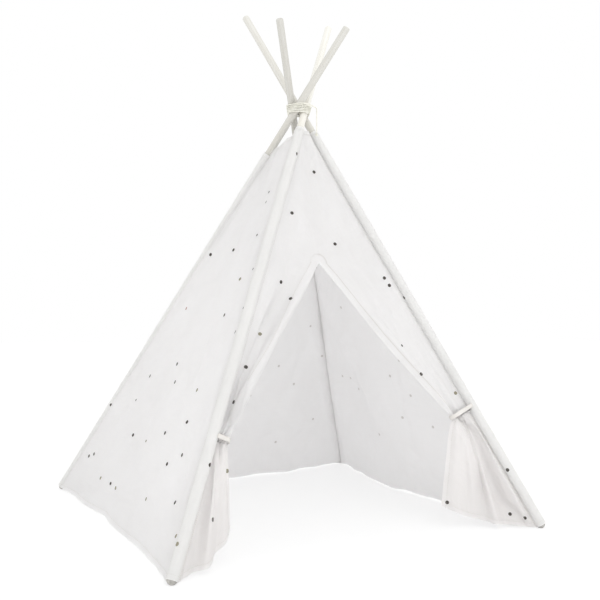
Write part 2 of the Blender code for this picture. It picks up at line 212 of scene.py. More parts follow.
# %% Node kit
def maths(operation, is_swapped=False):
    """A method that adds one Math node, whose inputs are the value itself and another one."""
    def method(value, other=0.0):
        first, second = (other, value) if is_swapped else (value, other)
        return value.nodes.node("ShaderNodeMath", {"operation": operation}, {0: first, 1: second})
    return method


class Value:
    """What one output socket of a node gives: a number, a colour, a direction or a shape."""

    __add__ = __radd__ = maths("ADD")
    __sub__ = maths("SUBTRACT")
    __rsub__ = maths("SUBTRACT", is_swapped=True)
    __mul__ = __rmul__ = maths("MULTIPLY")
    __truediv__ = maths("DIVIDE")
    sine = maths("SINE")
    cosine = maths("COSINE")
    size = maths("ABSOLUTE")
    below = maths("LESS_THAN")
    larger = maths("MAXIMUM")

    def __init__(self, nodes, socket):
        self.nodes = nodes
        self.socket = socket

    def other(self, output):
        """Another output of the same node."""
        return Value(self.nodes, self.socket.node.outputs[output])


class Nodes:
    """A tree of nodes in the making."""

    def __init__(self, tree):
        self.tree = tree
        tree.nodes.clear()

    def node(self, kind, settings=None, inputs=None, output=0):
        made = self.tree.nodes.new(kind)
        for name, setting in (settings or {}).items():
            setattr(made, name, setting)
        for name, value in (inputs or {}).items():
            if isinstance(value, Value):
                self.tree.links.new(value.socket, made.inputs[name])
            else:
                made.inputs[name].default_value = value
        return Value(self, made.outputs[output]) if len(made.outputs) else None


class Finish(Nodes):
    """A material in the making."""

    def __init__(self, name):
        self.material = bpy.data.materials.new(name)
        self.material.use_nodes = True
        super().__init__(self.material.node_tree)

    def place(self, kind="Object"):
        """Where a point is: in the room, or on the piece's UV map."""
        return self.node("ShaderNodeTexCoord", output=kind)

    def carried(self, name):
        """A number that the mesh carries on its points."""
        return self.node("ShaderNodeAttribute", {"attribute_name": name}, {}, "Fac")

    def mixed(self, factor, a, b):
        """A colour between two others."""
        a, b = (colour if isinstance(colour, Value) else (*colour, 1) for colour in (a, b))
        return self.node("ShaderNodeMix", {"data_type": "RGBA"}, {0: factor, 6: a, 7: b}, 2)

    def noise(self, place, scale, detail=2.0, rough=0.5):
        """Uneven from place to place. Three scales make grain or threads that run one way."""
        if isinstance(scale, tuple):
            place = self.node("ShaderNodeVectorMath", {"operation": "MULTIPLY"}, {0: place, 1: scale})
            scale = 1.0
        inputs = {"Vector": place, "Scale": scale, "Detail": detail, "Roughness": rough}
        return self.node("ShaderNodeTexNoise", {}, inputs)

    def range(self, value, low, high, to_low=0.0, to_high=1.0):
        inputs = {"Value": value, "From Min": low, "From Max": high, "To Min": to_low, "To Max": to_high}
        return self.node("ShaderNodeMapRange", {"clamp": True}, inputs)

    def bump(self, height, distance, strength=1.0):
        inputs = {"Height": height, "Distance": distance, "Strength": strength}
        return self.node("ShaderNodeBump", {}, inputs)

    def solid(self, colour, grain, rough, normal=None, levels=None):
        """An ordinary surface, whose roughness follows its grain from one value to another."""
        inputs = {"Base Color": colour, "Roughness": self.range(grain, 0.3, 0.7, *rough), **(levels or {})}
        if normal:
            inputs["Normal"] = normal
        return self.node("ShaderNodeBsdfPrincipled", {}, inputs)

    def done(self, shader):
        self.node("ShaderNodeOutputMaterial", {}, {"Surface": shader})
        return self.material


print("the kit is ready")

# %% [markdown]
# ## Cotton
# The cover is unbleached cotton, thin enough that daylight comes through it. Threads of uneven
# thickness give it faint streaks along and across. The shader mixes an ordinary rough surface with a
# Translucent one, and its weave is drawn on the cloth's own UV map, which counts in metres, so that the
# threads follow every fold.

# %% Cotton finish
thread_pitch = 0.0011
cotton_shade = (0.868, 0.862, 0.850)
cotton_light = (0.975, 0.972, 0.964)
lining_shade = (0.965, 0.960, 0.965)
hem_band = 0.014            # how wide the cloth is turned in and sewn down along a finished edge
seam_width = 0.003          # of the groove where the hem is sewn down, which is darkened there as painted shade
seam_line_width = 0.0016    # of the painted shade line in it
# The dark line along a seam is painted shade, as if its crevice lay in shadow.
seam_line_painted_shade = (0.52, 0.49, 0.43)
faint_shine = {"Specular IOR Level": 0.25}


def make_cotton(name, dark, light, through):
    """Cloth that lets a share of the light through."""
    finish = Finish(name)
    place = finish.place("UV")
    across = finish.node("ShaderNodeSeparateXYZ", {}, {0: place})
    turns = math.tau / thread_pitch
    weave = (across * turns).sine() * (across.other(1) * turns).sine()
    warp = finish.noise(place, (520, 14, 1), 3)
    weft = finish.noise(place, (14, 520, 1), 3)
    cloud = finish.noise(place, 4.0, 4, 0.6)
    creases = finish.noise(place, 26.0, 5, 0.62)
    streaks = warp * 0.5 + weft * 0.5
    edge = finish.carried("edge_distance")
    band = edge.below(hem_band)
    off_seam = (edge - hem_band).size()
    seam = finish.range(off_seam, 0, seam_width, 1, 0)
    # The seam's middle line is darkened towards the seam colour: painted shade, as strong as the sheet asks.
    line = finish.range(off_seam, 0, seam_line_width, 1, 0) * finish.carried("seam_shade")
    # In the groove the tone is up to a quarter darker: painted shade.
    tone = finish.range(streaks * 0.6 + cloud * 0.4, 0.36, 0.64) * (1 - 0.25 * seam) + band * 0.12
    colour = finish.mixed(line, finish.mixed(tone, dark, light), seam_line_painted_shade)
    height = weave * 0.12 + streaks * 0.6 + creases * 4.5 - seam * 0.8 + band * 0.4
    normal = finish.bump(height, 0.0007)
    sheen = {"Sheen Weight": 0.12, "Sheen Roughness": 0.6}
    solid = finish.solid(colour, streaks, (0.86, 0.97), normal, {**faint_shine, **sheen})
    glow = finish.node("ShaderNodeBsdfTranslucent", {}, {"Color": (*lining_shade, 1), "Normal": normal})
    return finish.done(finish.node("ShaderNodeMixShader", {}, {0: through, 1: solid, 2: glow}))


cotton = make_cotton("cover_cotton_woven", cotton_shade, cotton_light, 0.58)
sleeve_cotton = make_cotton("cover_cotton_double", (0.855, 0.85, 0.835), (0.935, 0.93, 0.915), 0.30)
# The flaps get a warmer, slightly darker copy of the cotton: painted shade for their hanging folds.
flap_cotton = make_cotton("cover_cotton_faced", (0.875, 0.850, 0.825), (0.972, 0.955, 0.940), 0.56)
print("cotton:", cotton.name, sleeve_cotton.name, flap_cotton.name)

# %% [markdown]
# ## Making a sheet of cloth
# Every panel is worked out as a fine grid of points. A grid becomes a thin closed solid: one layer of
# points on each side of it, and a rim round the edge. The two halves of a wall meet along their fold
# line, so both take their normals from the whole wall, and no line shows where they meet. A sleeve is a
# grid too, wound into a tube.

# %% Sheet kit
cloth_thickness = 0.0009


def add_piece(name, mesh, material=None):
    if material:
        mesh.materials.append(material)
    return show(bpy.data.objects.new(name, mesh))


def carry(mesh, name, values):
    """Stores a number or a direction on each point of a mesh."""
    values = np.array(values, np.float32)
    kind, key = ("FLOAT_VECTOR", "vector") if values.ndim == 2 else ("FLOAT", "value")
    mesh.attributes.new(name, kind, "POINT").data.foreach_set(key, values.ravel())


def unit(vectors):
    return vectors / np.linalg.norm(vectors, axis=-1, keepdims=True)


def row_lengths(points):
    """How far each point is along its row of the grid."""
    steps = np.linalg.norm(np.diff(points, axis=1), axis=2)
    return np.concatenate([np.zeros((len(points), 1)), np.cumsum(steps, axis=1)], axis=1)


def column_lengths(points):
    return row_lengths(points.swapaxes(0, 1)).T


class Grid:
    """A sheet of cloth as rows of points, from its lowest row up, with its outward normals.

    Without an outward direction it is a tube, and its last column lies on its first.
    """

    def __init__(self, points, outward=None):
        self.points = np.array(points, float)
        self.outward = outward
        self.is_tube = outward is None
        self.edge_distance = np.full(self.points.shape[:2], 1.0)
        self.seam_shade = 0.0       # how dark the painted shade line along its hem's seam shows
        self.find_normals()

    def find_normals(self):
        points = self.points
        if self.is_tube:
            points = np.concatenate([points[:, -2:-1], points, points[:, 1:2]], axis=1)
        normals = unit(np.cross(np.gradient(points, axis=1), np.gradient(points, axis=0)) + 1e-12)
        if self.is_tube:
            normals = normals[:, 1:-1]
        elif (normals @ np.array(self.outward)).mean() < 0:
            normals = -normals
        self.normals = normals

    def push(self, depths):
        """Moves each point along its normal."""
        self.points = self.points + self.normals * depths[..., None]
        self.find_normals()

    def part(self, first, last):
        """The columns from first to last, as a grid that keeps these normals."""
        made = Grid(self.points[:, first:last + 1], self.outward)
        made.normals = self.normals[:, first:last + 1]
        made.edge_distance = self.edge_distance[:, first:last + 1]
        return made

    def area(self):
        a = self.points[1:, 1:] - self.points[:-1, :-1]
        b = self.points[1:, :-1] - self.points[:-1, 1:]
        return float(np.linalg.norm(np.cross(a, b), axis=2).sum() / 2)

    def flat_size(self):
        return float(row_lengths(self.points)[:, -1].max()), float(column_lengths(self.points)[-1].max())


print("a grid is measured along its rows and its columns")

# %% [markdown]
# The two layers and the rim are listed as faces once for the mesh's points and once for the places on the
# flat cloth. In a tube these differ, since its first column lies at both edges of the flat cloth.

# %% From a grid to a piece
def sheet_faces(index, count, is_tube, is_flipped):
    """The faces of both layers and of the rim. A point of the inner layer comes count after its twin."""
    layer = np.stack([index[:-1, :-1], index[:-1, 1:], index[1:, 1:], index[1:, :-1]], -1).reshape(-1, 4)
    if is_tube:
        runs = [index[0], index[-1, ::-1]]
    else:
        runs = [np.concatenate([index[0], index[1:, -1], index[-1, -2::-1], index[-2::-1, 0]])]
    rims = [np.stack([run[:-1], run[:-1] + count, run[1:] + count, run[1:]], -1) for run in runs]
    faces = np.concatenate([layer, layer[:, ::-1] + count, *rims])
    return faces[:, ::-1] if is_flipped else faces


def add_sheet(name, grid, material, thickness=cloth_thickness):
    """The grid as a closed sheet, with UVs in metres and each side's own normals."""
    rows, columns = grid.points.shape[:2]
    own = columns - 1 if grid.is_tube else columns      # columns with points of their own
    offset = grid.normals * thickness / 2
    places = np.concatenate([(grid.points + side * offset)[:, :own].reshape(-1, 3) for side in (1, -1)])
    onward = np.diff(grid.points, axis=1)[:-1]
    upward = np.diff(grid.points, axis=0)[:, 1:]
    is_flipped = (np.cross(onward, upward) * grid.normals[:-1, :-1]).sum() < 0
    index = np.arange(rows * own).reshape(rows, own)[:, np.arange(columns) % own]
    faces = sheet_faces(index, rows * own, grid.is_tube, is_flipped)
    spots = np.arange(rows * columns).reshape(rows, columns)
    spot_faces = sheet_faces(spots, rows * columns, grid.is_tube, is_flipped)
    mesh = bpy.data.meshes.new(name)
    mesh.from_pydata(places.tolist(), [], faces.tolist())
    flat = np.stack([row_lengths(grid.points), column_lengths(grid.points)], -1).reshape(-1, 2)
    uv = np.tile(flat, (2, 1))[spot_faces.ravel()]
    mesh.uv_layers.new(name="UVMap").data.foreach_set("uv", uv.astype(np.float32).ravel())
    carry(mesh, "edge_distance", np.tile(grid.edge_distance[:, :own].ravel(), 2))
    carry(mesh, "seam_shade", np.full(len(places), grid.seam_shade))
    mesh.shade_smooth()
    normals = grid.normals.reshape(-1, 3)
    corner_normals = np.concatenate([normals, -normals])[spot_faces]
    rim = faces[2 * (rows - 1) * (columns - 1):]
    a, b, c = (places[rim[:, corner]] for corner in range(3))
    corner_normals[-len(rim):] = unit(np.cross(b - a, c - b) + 1e-12)[:, None]
    mesh.normals_split_custom_set(corner_normals.reshape(-1, 3).tolist())
    return add_piece(name, mesh, material)


def settle(piece, body, node=None):
    """Says what a piece rides on, and hides the CAD piece that it stands for."""
    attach(piece, body)
    if node:
        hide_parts(node)


def add_cloth(node, grid, material, body, flat=None):
    """The cloth for a CAD piece. Where no flat size is given, size and area are measured on the grid."""
    made = add_sheet(f"cloth_{node}", grid, material)
    settle(made, body, node)
    width, length = flat or grid.flat_size()
    area = None if flat else grid.area()
    print(made.name, "flat:", round(width, 3), round(length, 3), "area:", round(area or width * length, 3))


print("sheets are", cloth_thickness * 1000, "mm thick")

# %% [markdown]
# ## Walls
# Three walls and the front hang between the poles. Pulled tight only along the poles, each wall sags
# inwards towards its hem, and it has folds at three scales: long soft ones that fan out from the top,
# short puckers where it is sewn to the sleeves, and small creases all over from being packed away.
# Every fold here is a push along the wall's own normal.

# %% Folds of a hung wall
# How far the middle of each wall's hem sags inwards.
panel_sags = {"left": 0.022, "back": 0.110, "right": 0.085, "front": 0.012}
ripple_height = 0.007       # of the soft upright folds along the hem
ripple_count = 3
# How far outwards the folds are shifted, so that a wall's halves don't cut each other when it folds.
fold_rooms = {"left": 0, "back": 0.0036, "right": 0, "front": 0}
slit_share = 0.42           # of the way from the left pole to the right one
sleeve_radius = 0.0141      # of the middle of its cloth
# Where a wall leaves its two sleeves, in degrees from the wall's own line inwards.
seam_turns = {"left": (-35, -42), "back": (10, 40), "right": (40, -30), "front": (6, 26)}
seam_spread = 0.030         # how far from the sleeve the seam still bends the wall
narrow_span = 0.4           # where a wall is narrower than this, the seam bends less of it
held_width = 0.05           # beside the seam, where the folds die out
pucker_reach = 0.035        # of the short folds that the seam makes
hem_wave_reach = 0.05       # above the hem
column_crowding = 1.6       # above 1, columns stand closer near the sleeves
wall_columns = 80           # in each half
wall_rows = 150
fan_height = 0.0100         # of the long folds that fan out from the top
fan_counts = (7.5, 1.1)     # of them along the wall, and up it
slant_height = 0.0075       # of broad folds that lie across them
pucker_height = 0.0022      # beside the seams
pucker_counts = (24, 9)     # in a metre along the seam, and away from it
pucker_start = 0.006        # from the seam
crumple_height = 0.0065     # of small creases all over
crumple_count = 11          # in a metre
finer_height = 0.0011       # of finer ones on top of them
finer_count = 27
hem_wave_height = 0.0022    # of the small waves in the hem
# Each crease: from, to (metres along the hem and up, from the wall's first corner), width and height.
wall_creases = {
    "left": [
        ((0.10, 0.027), (0.34, 0.059), 0.014, -0.006), ((0.34, 0.059), (0.67, 0.115), 0.014, -0.006),
        ((0.37, 0.70), (0.50, 0.52), 0.013, -0.006), ((0.45, 0.72), (0.57, 0.55), 0.012, 0.005),
        ((0.20, 0.60), (0.35, 0.30), 0.030, 0.007), ((0.72, 0.38), (0.90, 0.15), 0.028, -0.008),
        ((0.15, 0.90), (0.36, 0.72), 0.018, -0.005), ((0.52, 0.42), (0.74, 0.30), 0.016, 0.005),
    ],
    "front": [
        ((0.42, 0.73), (0.51, 0.65), 0.018, -0.007), ((0.05, 1.10), (0.165, 0.97), 0.015, -0.005),
        ((0.25, 0.96), (0.36, 0.80), 0.014, 0.004), ((0.03, 0.95), (0.12, 0.82), 0.014, -0.006),
    ],
    "back": [
        ((0.60, 0.72), (0.64, 0.25), 0.030, 0.007), ((0.25, 0.50), (0.80, 0.18), 0.024, -0.006),
        ((0.75, 0.45), (0.95, 0.20), 0.018, 0.005), ((0.20, 0.80), (0.45, 0.55), 0.022, -0.006),
    ],
    "right": [
        ((0.15, 0.66), (0.45, 0.25), 0.022, -0.006), ((0.50, 0.52), (0.62, 0.10), 0.020, 0.006),
        ((0.62, 0.60), (0.85, 0.30), 0.024, -0.006), ((0.30, 0.85), (0.50, 0.66), 0.016, 0.004),
    ],
}

print("creases:", {name: len(creases) for name, creases in wall_creases.items()})

# %% [markdown]
# A wall is a smooth surface first, and the folds are added to it. Both are functions of two shares, u
# along the wall and v up it, so that the door can use the same surface later.

# %% Shape of a wall
def hump(aside, width):
    """1 on a line, and 0 well to either side of it."""
    return math.exp(-((aside / width) ** 2))


def crease_depth(crease, x, y):
    """A fold along a straight line between two points of a wall."""
    (x1, y1), (x2, y2), width, depth = crease
    dx, dy = x2 - x1, y2 - y1
    length = math.hypot(dx, dy)
    along = ((x - x1) * dx + (y - y1) * dy) / length
    aside = ((x - x1) * dy - (y - y1) * dx) / length
    ends = ease(along / (0.3 * length) + 0.5) * ease((length - along) / (0.3 * length) + 0.5)
    return depth * hump(aside, width) * ends


class Wall:
    """The cover between two poles. u runs from the first sleeve to the second, v from the hem to the top."""

    def __init__(self, name, first, second, seed):
        self.name = name
        self.first = first
        self.second = second
        self.seed = seed
        self.fold_share = first.lower_length / (first.lower_length + second.lower_length)
        if name == "front":
            self.fold_share = slit_share
        middle = (first.foot + second.foot) / 2
        inward = Vector((0, -lash_forward, 0)) - middle
        along = (second.foot - first.foot).normalized()
        self.inward = inward - along * inward.dot(along)
        self.inward.z = 0
        self.inward.normalize()
        self.outward = -self.inward

    def seam(self, pole):
        """How far from the pole's axis the wall is sewn on: along the wall, and inwards."""
        turn = math.radians(seam_turns[self.name][0 if pole is self.first else 1])
        return sleeve_radius * math.cos(turn), sleeve_radius * math.sin(turn)

    def seat(self, pole, from_axis, span=1.0):
        """How far inwards the seam draws the cloth near it."""
        reach, depth = self.seam(pole)
        return depth * hump(from_axis - reach, seam_spread * min(1, span / narrow_span))

    def edge(self, pole, v):
        return pole.at(mix(pole.hem, pole.sleeve_top, v))

    def span(self, v):
        return (self.edge(self.second, v) - self.edge(self.first, v)).length

    def point(self, u, v):
        flat = mix(self.edge(self.first, v), self.edge(self.second, v), u)
        arch = math.sin(math.pi * u)
        ripple = math.sin(math.tau * ripple_count * u) * arch * (1 - v) ** 2
        depth = panel_sags[self.name] * arch * (1 - v) + ripple_height * ripple
        return flat + self.inward * depth

    def edge_share(self, pole, v):
        """How much of u the sleeve on this pole takes at this height."""
        span = self.edge(self.second, v) - self.edge(self.first, v)
        crossways = math.sqrt(1 - pole.direction.dot(span.normalized()) ** 2)
        return self.seam(pole)[0] / (span.length * crossways)

    def fold_depth(self, u, v):
        """How far the cloth stands out of its smooth shape."""
        span = self.span(v)
        height = v * self.first.sleeve_top
        from_seam = min(u, 1 - u) * span
        seat = self.seat(self.first, u * span, span) + self.seat(self.second, (1 - u) * span, span)
        held = ease(from_seam / held_width)
        place = self.point(u, v)
        fan = noise.noise(Vector((u * fan_counts[0], v * fan_counts[1], self.seed)))
        slant = noise.noise(Vector((u * 5 + v * 4, v * 3 - u * 2, self.seed + 5)))
        pucker = noise.noise(Vector((height * pucker_counts[0], from_seam * pucker_counts[1], self.seed + 9)))
        small = abs(noise.noise(place * crumple_count + Vector((0, 0, self.seed))))
        finer = noise.noise(place * finer_count)
        hem_wave = math.sin(height / span * 3 + u * 41 + 3 * fan) * math.exp(-height / hem_wave_reach)
        depth = fan_height * fan * (0.35 + 0.65 * (1 - v)) * ease(4 * (1 - v)) + slant_height * slant
        depth += crumple_height * (0.2 - small) + finer_height * finer + hem_wave_height * hem_wave
        depth += sum(crease_depth(crease, u * span, height) for crease in wall_creases[self.name])
        puckered = pucker_height * pucker * math.exp(-from_seam / pucker_reach)
        puckered *= ease(from_seam / pucker_start)
        return (depth + fold_rooms[self.name]) * held + puckered - seat

    def shares(self, v):
        """The u of each column, with the fold line on a column of its own."""
        start = self.edge_share(self.first, v)
        end = 1 - self.edge_share(self.second, v)
        steps = [(k / wall_columns) ** column_crowding for k in range(wall_columns + 1)]
        first = [mix(start, self.fold_share, step) for step in steps]
        return first + [mix(end, self.fold_share, step) for step in reversed(steps[:-1])]

    def grid(self):
        levels = [row / wall_rows for row in range(wall_rows + 1)]
        grid = Grid([[self.point(u, v) for u in self.shares(v)] for v in levels], self.outward)
        grid.push(np.array([[self.fold_depth(u, v) for u in self.shares(v)] for v in levels]))
        up = column_lengths(grid.points)
        grid.edge_distance = np.minimum(up, up[-1] - up)
        return grid


walls = {
    name: Wall(name, poles[first], poles[second], seed)
    for name, first, second, seed in (
        ("left", "back_left", "front_left", 3),
        ("back", "back_left", "back_right", 17),
        ("right", "back_right", "front_right", 31),
        ("front", "front_left", "front_right", 47),
    )
}
for wall in walls.values():
    print(wall.name, "span at the hem:", round(wall.span(0), 3))

# %% [markdown]
# Each wall is worked out whole and then parted at its fold line. Its two halves ride with their own poles,
# and while the teepee stands they meet in one unbroken run of folds.

# %% Build the three closed walls
sheet_grids = {}
wall_halves = {
    "left": ("left_panel_back_half", "left_panel_front_half"),
    "back": ("back_panel_left_half", "back_panel_right_half"),
    "right": ("right_panel_back_half", "right_panel_front_half"),
}
for name, pieces in wall_halves.items():
    wall = walls[name]
    whole = wall.grid()
    for piece, start, pole in zip(pieces, (0, wall_columns), (wall.first, wall.second)):
        body = f"{piece}_group"
        sheet_grids[body] = whole.part(start, start + wall_columns)
        add_cloth(piece, sheet_grids[body], cotton, body)

# %% [markdown]
# ## The door
# The front wall is slit up to a point above the door. Each side of the slit is drawn back to its pole
# and held there by a tape, so the cloth is taut above the tape, bunched inside it, and hangs in deep
# folds below it.

# %% Sizes of the door
# Of each side: tie is where the tape sits along the pole, and reach how far the bunch comes from the pole's
# middle line. rise and out place the flap's free corner, above the floor and outside the bunch, and front
# and back the turn of its hem, from the sleeve. roll is the height of the rolled edge above the tie, and
# curl how far the slit's edge turns inwards. facing is the width of the doubled cloth along the slit, and
# shade how dark the painted shade along its seam is. A valley of the flap has a line (q and share), a
# width and a depth, and a ridge has a negative depth.
door_sizes = {
    "left": {
        "tie": 0.355, "reach": 0.044, "rise": 0.074, "out": 0.013, "front": 0.095, "back": 0.035,
        "roll": 0.022, "curl": 0.006, "facing": 0.040, "shade": 0.15,
        "valleys": [
            ((0, 0.4, 0.75, 1), (0.34, 0.36, 0.22, 0.10), 0.13, 0.013),
            ((0, 1), (0.74, 0.60), 0.10, -0.005),
        ],
    },
    "right": {
        "tie": 0.395, "reach": 0.090, "rise": 0.067, "out": 0.034, "front": 0.133, "back": 0.054,
        "roll": 0.007, "curl": 0.002, "facing": 0.021, "shade": 0.65,
        "valleys": [
            ((0, 0.3, 0.8, 1), (0.31, 0.36, 0.29, 0.10), 0.075, 0.015),
            ((0, 1), (0.14, 0.09), 0.05, -0.006),
            ((0, 0.4, 1), (0.46, 0.48, 0.63), 0.045, 0.010),
            ((0, 0.15, 0.3), (0.56, 0.56, 0.56), 0.05, 0.012),
        ],
    },
}
slit_height = 0.767         # of the slit's top above the floor
tie_gather_width = 0.034    # of the bunch itself
tie_gather_share = 0.2      # of the cloth, which lies flat between sleeve and bunch
tie_gather_height = 0.0085  # of the folds in the bunch
tie_loop_radius = 0.0125    # of the tape's round end
tie_loop_room = 0.0024      # between the bunch and that end
tie_hold = 0.0100           # how far above and below its middle the tie holds the cloth
door_folds = 3
door_edge_sag = 0.012       # how far the slit's edge hangs inwards between its top and the tie
flap_hem_curve = 2.5        # above 1, the hem rises mostly near its free corner
flap_fold_height = 0.015
flap_folds = 5
flap_spread = 3             # how soon the flap opens out below the tie
facing_top = 0.028          # the doubled cloth's width at the slit's top, on both sides
facing_rows = 30            # of the grid, over which each side takes on its own width
# The edge above the tie rolls outwards, with a valley beside the roll. Each has its place on the way
# across at the slit's top and at the tie, and its width.
roll_line = (0.95, 0.55, 0.15)
roll_valley_line = (0.64, 0.18, 0.16)
roll_valley_depth = 0.8     # as a share of the roll's height
curl_start = 0.84           # on the way across the flap, where its edge begins to turn in
curl_share = 0.16           # of that way, over which it turns
ray_height = 0.007          # of the folds that run up from the tie
flap_small_height = 0.0045  # of the flap's small folds, and of its broad ones
flap_broad_height = 0.005
header_rows = 62
door_rows = 96
door_columns = 84
flap_columns = 132
flap_rows = 84

print("valleys in the flaps:", [len(sizes["valleys"]) for sizes in door_sizes.values()])

# %% [markdown]
# A side's cloth is a function of two shares too: one across it, from the sleeve (0) to the slit (1), and
# one down it, called q.

# %% Shape of a door side
def waves(count, share):
    """Half waves that die out towards both ends."""
    return math.sin(math.pi * count * share) * math.sin(math.pi * share)


class DoorSide:
    """One half of the front, from its pole to the slit, drawn back to the pole."""

    def __init__(self, side):
        self.wall = wall = walls["front"]
        self.pole = pole = poles[f"front_{side}"]
        self.is_left = side == "left"
        self.sizes = door_sizes[side]
        self.tie = pole.at(self.sizes["tie"])
        self.reach = self.sizes["reach"]
        self.slit_v = self.height_share(slit_height)
        self.tie_v = self.height_share(self.tie.z)
        to_middle = wall.point(0.5, self.tie_v) - self.tie
        self.across = (to_middle - pole.direction * to_middle.dot(pole.direction)).normalized()
        self.outward = pole.direction.cross(self.across)
        if self.outward.dot(wall.inward) > 0:
            self.outward = -self.outward

    def height_share(self, height):
        top = self.pole.at(self.pole.sleeve_top).z
        return (height - hem_rise) / (top - hem_rise)

    def wall_share(self, share, v):
        """The wall's u, for a share that runs from the sleeve (0) to the fold line (1)."""
        inset = self.wall.edge_share(self.pole, v)
        return mix(inset if self.is_left else 1 - inset, self.wall.fold_share, share)

    def gather(self, share):
        """A point of the cloth at the tie, as (across, outward) from the pole's axis."""
        seam = self.wall.seam(self.pole)[0]
        bunch = max(seam, self.reach - tie_gather_width)
        if share < tie_gather_share:
            return mix(seam, bunch, share / tie_gather_share), 0
        part_way = (share - tie_gather_share) / (1 - tie_gather_share)
        return mix(bunch, self.reach, part_way), tie_gather_height * waves(door_folds, part_way)

    def tied_point(self, share, level=0.0):
        """A point of the cloth inside the tie, at a level above or below its middle."""
        across, outward = self.gather(share)
        return self.tie + self.across * across + self.outward * outward + self.pole.direction * level

    def header_point(self, share, v):
        return self.wall.point(self.wall_share(share, v), v)

    def header_depth(self, share, v):
        return self.wall.fold_depth(self.wall_share(share, v), v)

    def drawn_point(self, share, q):
        """A point of the drawn-back cloth. q runs from the top of the slit (0) down to the tie (1)."""
        v = mix(self.slit_v, self.tie_v, q)
        near = self.header_point(0, v)
        top = self.wall.point(self.wall.fold_share, self.slit_v)
        bottom = self.tie + self.across * self.reach
        far = mix(top, bottom, q) - self.outward * door_edge_sag * math.sin(math.pi * q)
        fold = self.gather(share)[1] * ease(q)
        flat = mix(near, far, share) + self.outward * fold
        return mix(flat, self.tied_point(share, tie_hold), q**6)

    def drawn_depth(self, share, q):
        """The folds that run from the tie up into the drawn-back cloth."""
        v = mix(self.slit_v, self.tie_v, q)
        seat = self.seat(share * mix(0.20, self.reach, q))
        whole = (self.header_depth(share, v) + seat) * (1 - ease(1.1 * q)) - seat
        rays = noise.noise(Vector((share * 6, q * 1.2, self.wall.seed + 3)))
        loose = ease(3 * q) * ease(5 * (1 - q)) * ease(8 * share)
        roll, valley = (
            hump(share - mix(top, bottom, q), width) for top, bottom, width in (roll_line, roll_valley_line)
        )
        rolled = roll - roll_valley_depth * valley
        return whole + loose * (ray_height * rays * (1 - 0.5 * q) + self.sizes["roll"] * rolled)

    def seat(self, from_seam):
        return self.wall.seat(self.pole, self.wall.seam(self.pole)[0] + from_seam)

    def flap_point(self, share, q):
        """A point of the hanging flap. q runs from the tie (0) down to the hem (1)."""
        own = self.sizes
        axis = self.pole.at(mix(own["tie"], self.pole.hem, q))
        along = Vector((1 if self.is_left else -1, 0, 0))
        crossways = math.sqrt(1 - self.pole.direction.x ** 2)
        start = axis + along * self.wall.seam(self.pole)[0] / crossways
        corner = self.tie + self.across * self.reach
        corner += along * own["out"] * q
        corner.z = mix(self.tie.z, own["rise"], q)
        turn = axis + along * own["front"] * q
        turn.y += own["back"] * q
        curve = mix(mix(start, turn, share), mix(turn, corner, share), share)
        curve.z = mix(start.z, corner.z, share**flap_hem_curve)
        fold = flap_fold_height * waves(flap_folds, share) * ease(q)
        curve += self.outward.xy.to_3d().normalized() * fold
        return mix(self.tied_point(share, -tie_hold), curve, ease(q * flap_spread))

    def flap_depth(self, share, q):
        small = noise.noise(Vector((share * 13, q * 1.6, self.wall.seed + 11)))
        broad = noise.noise(Vector((share * 5, q * 2.4, self.wall.seed + 13)))
        folds = flap_small_height * small + flap_broad_height * broad
        folds *= ease(4 * q) * ease(12 * share) * (1 - 0.6 * q**4)
        for levels, places, width, depth in self.sizes["valleys"]:
            aside = share - float(np.interp(q, levels, places))
            folds -= depth * hump(aside, width) * ease(6 * q) * ease(10 * share)
        folds -= self.sizes["curl"] * ease((share - curl_start) / curl_share) * ease(3 * q)
        return folds - self.seat(share * mix(self.reach, 0.24, q))


door_sides = {side: DoorSide(side) for side in door_sizes}
for side, door in door_sides.items():
    print(side, "tie height:", round(door.tie.z, 3))

# %% [markdown]
# Each side of the door is two sheets: one from the top down to the tie, and one from there to the hem.
# Both end in the same row of points inside the tape, so the cloth seems to run through it.

# %% Door cloth
def fill(columns, parts):
    """Rows of points, and how far each is pushed. A part gives some levels, and what says both there."""
    shares = [column / columns for column in range(columns + 1)]
    places = [[point(share, level) for share in shares] for levels, point, depth in parts for level in levels]
    depths = [[depth(share, level) for share in shares] for levels, point, depth in parts for level in levels]
    return places, np.array(depths)


def falling(rows):
    """Even levels from 1 down to 0."""
    return [row / rows for row in range(rows, -1, -1)]


def tie_row(door):
    """The row of points in the middle of the tie, where a side's two sheets meet."""
    return (1,), lambda share, q: door.tied_point(share), door.drawn_depth


def door_grid(door):
    """The header and the drawn-back cloth of one side, from the tie up."""
    header_levels = [mix(door.slit_v, 1, row / header_rows) for row in range(1, header_rows + 1)]
    places, depths = fill(door_columns, [
        tie_row(door),
        (falling(door_rows), door.drawn_point, door.drawn_depth),
        (header_levels, door.header_point, door.header_depth),
    ])
    return Grid(places, door.wall.outward), depths


def join_header(grids):
    """Gives both sides of the front the same normals on the line above the slit, which they share."""
    first_row = door_rows + 1
    shared = unit(grids["left"].normals[first_row:, -1] + grids["right"].normals[first_row:, -1])
    for grid in grids.values():
        grid.normals[first_row:, -1] = shared


def facing_width(side, row):
    """Both sides of the slit begin with one width at its top and take on their own below."""
    return mix(facing_top, door_sizes[side]["facing"], ease((door_rows - row) / facing_rows))


def finish_distances(side, grid, slit_row):
    """How far each point is from the slit's edge or from the top edge, counted in hem widths."""
    along = row_lengths(grid.points)
    from_slit = along[:, -1:] - along
    up = column_lengths(grid.points)
    above = np.maximum(0, up - up[slit_row])
    widths = np.array([[facing_width(side, row)] for row in range(len(grid.points))])
    faced = np.hypot(from_slit, above) * hem_band / widths
    grid.edge_distance = np.minimum(faced, up[-1] - up)
    # How dark the painted shade along the slit's seam is.
    grid.seam_shade = door_sizes[side]["shade"]


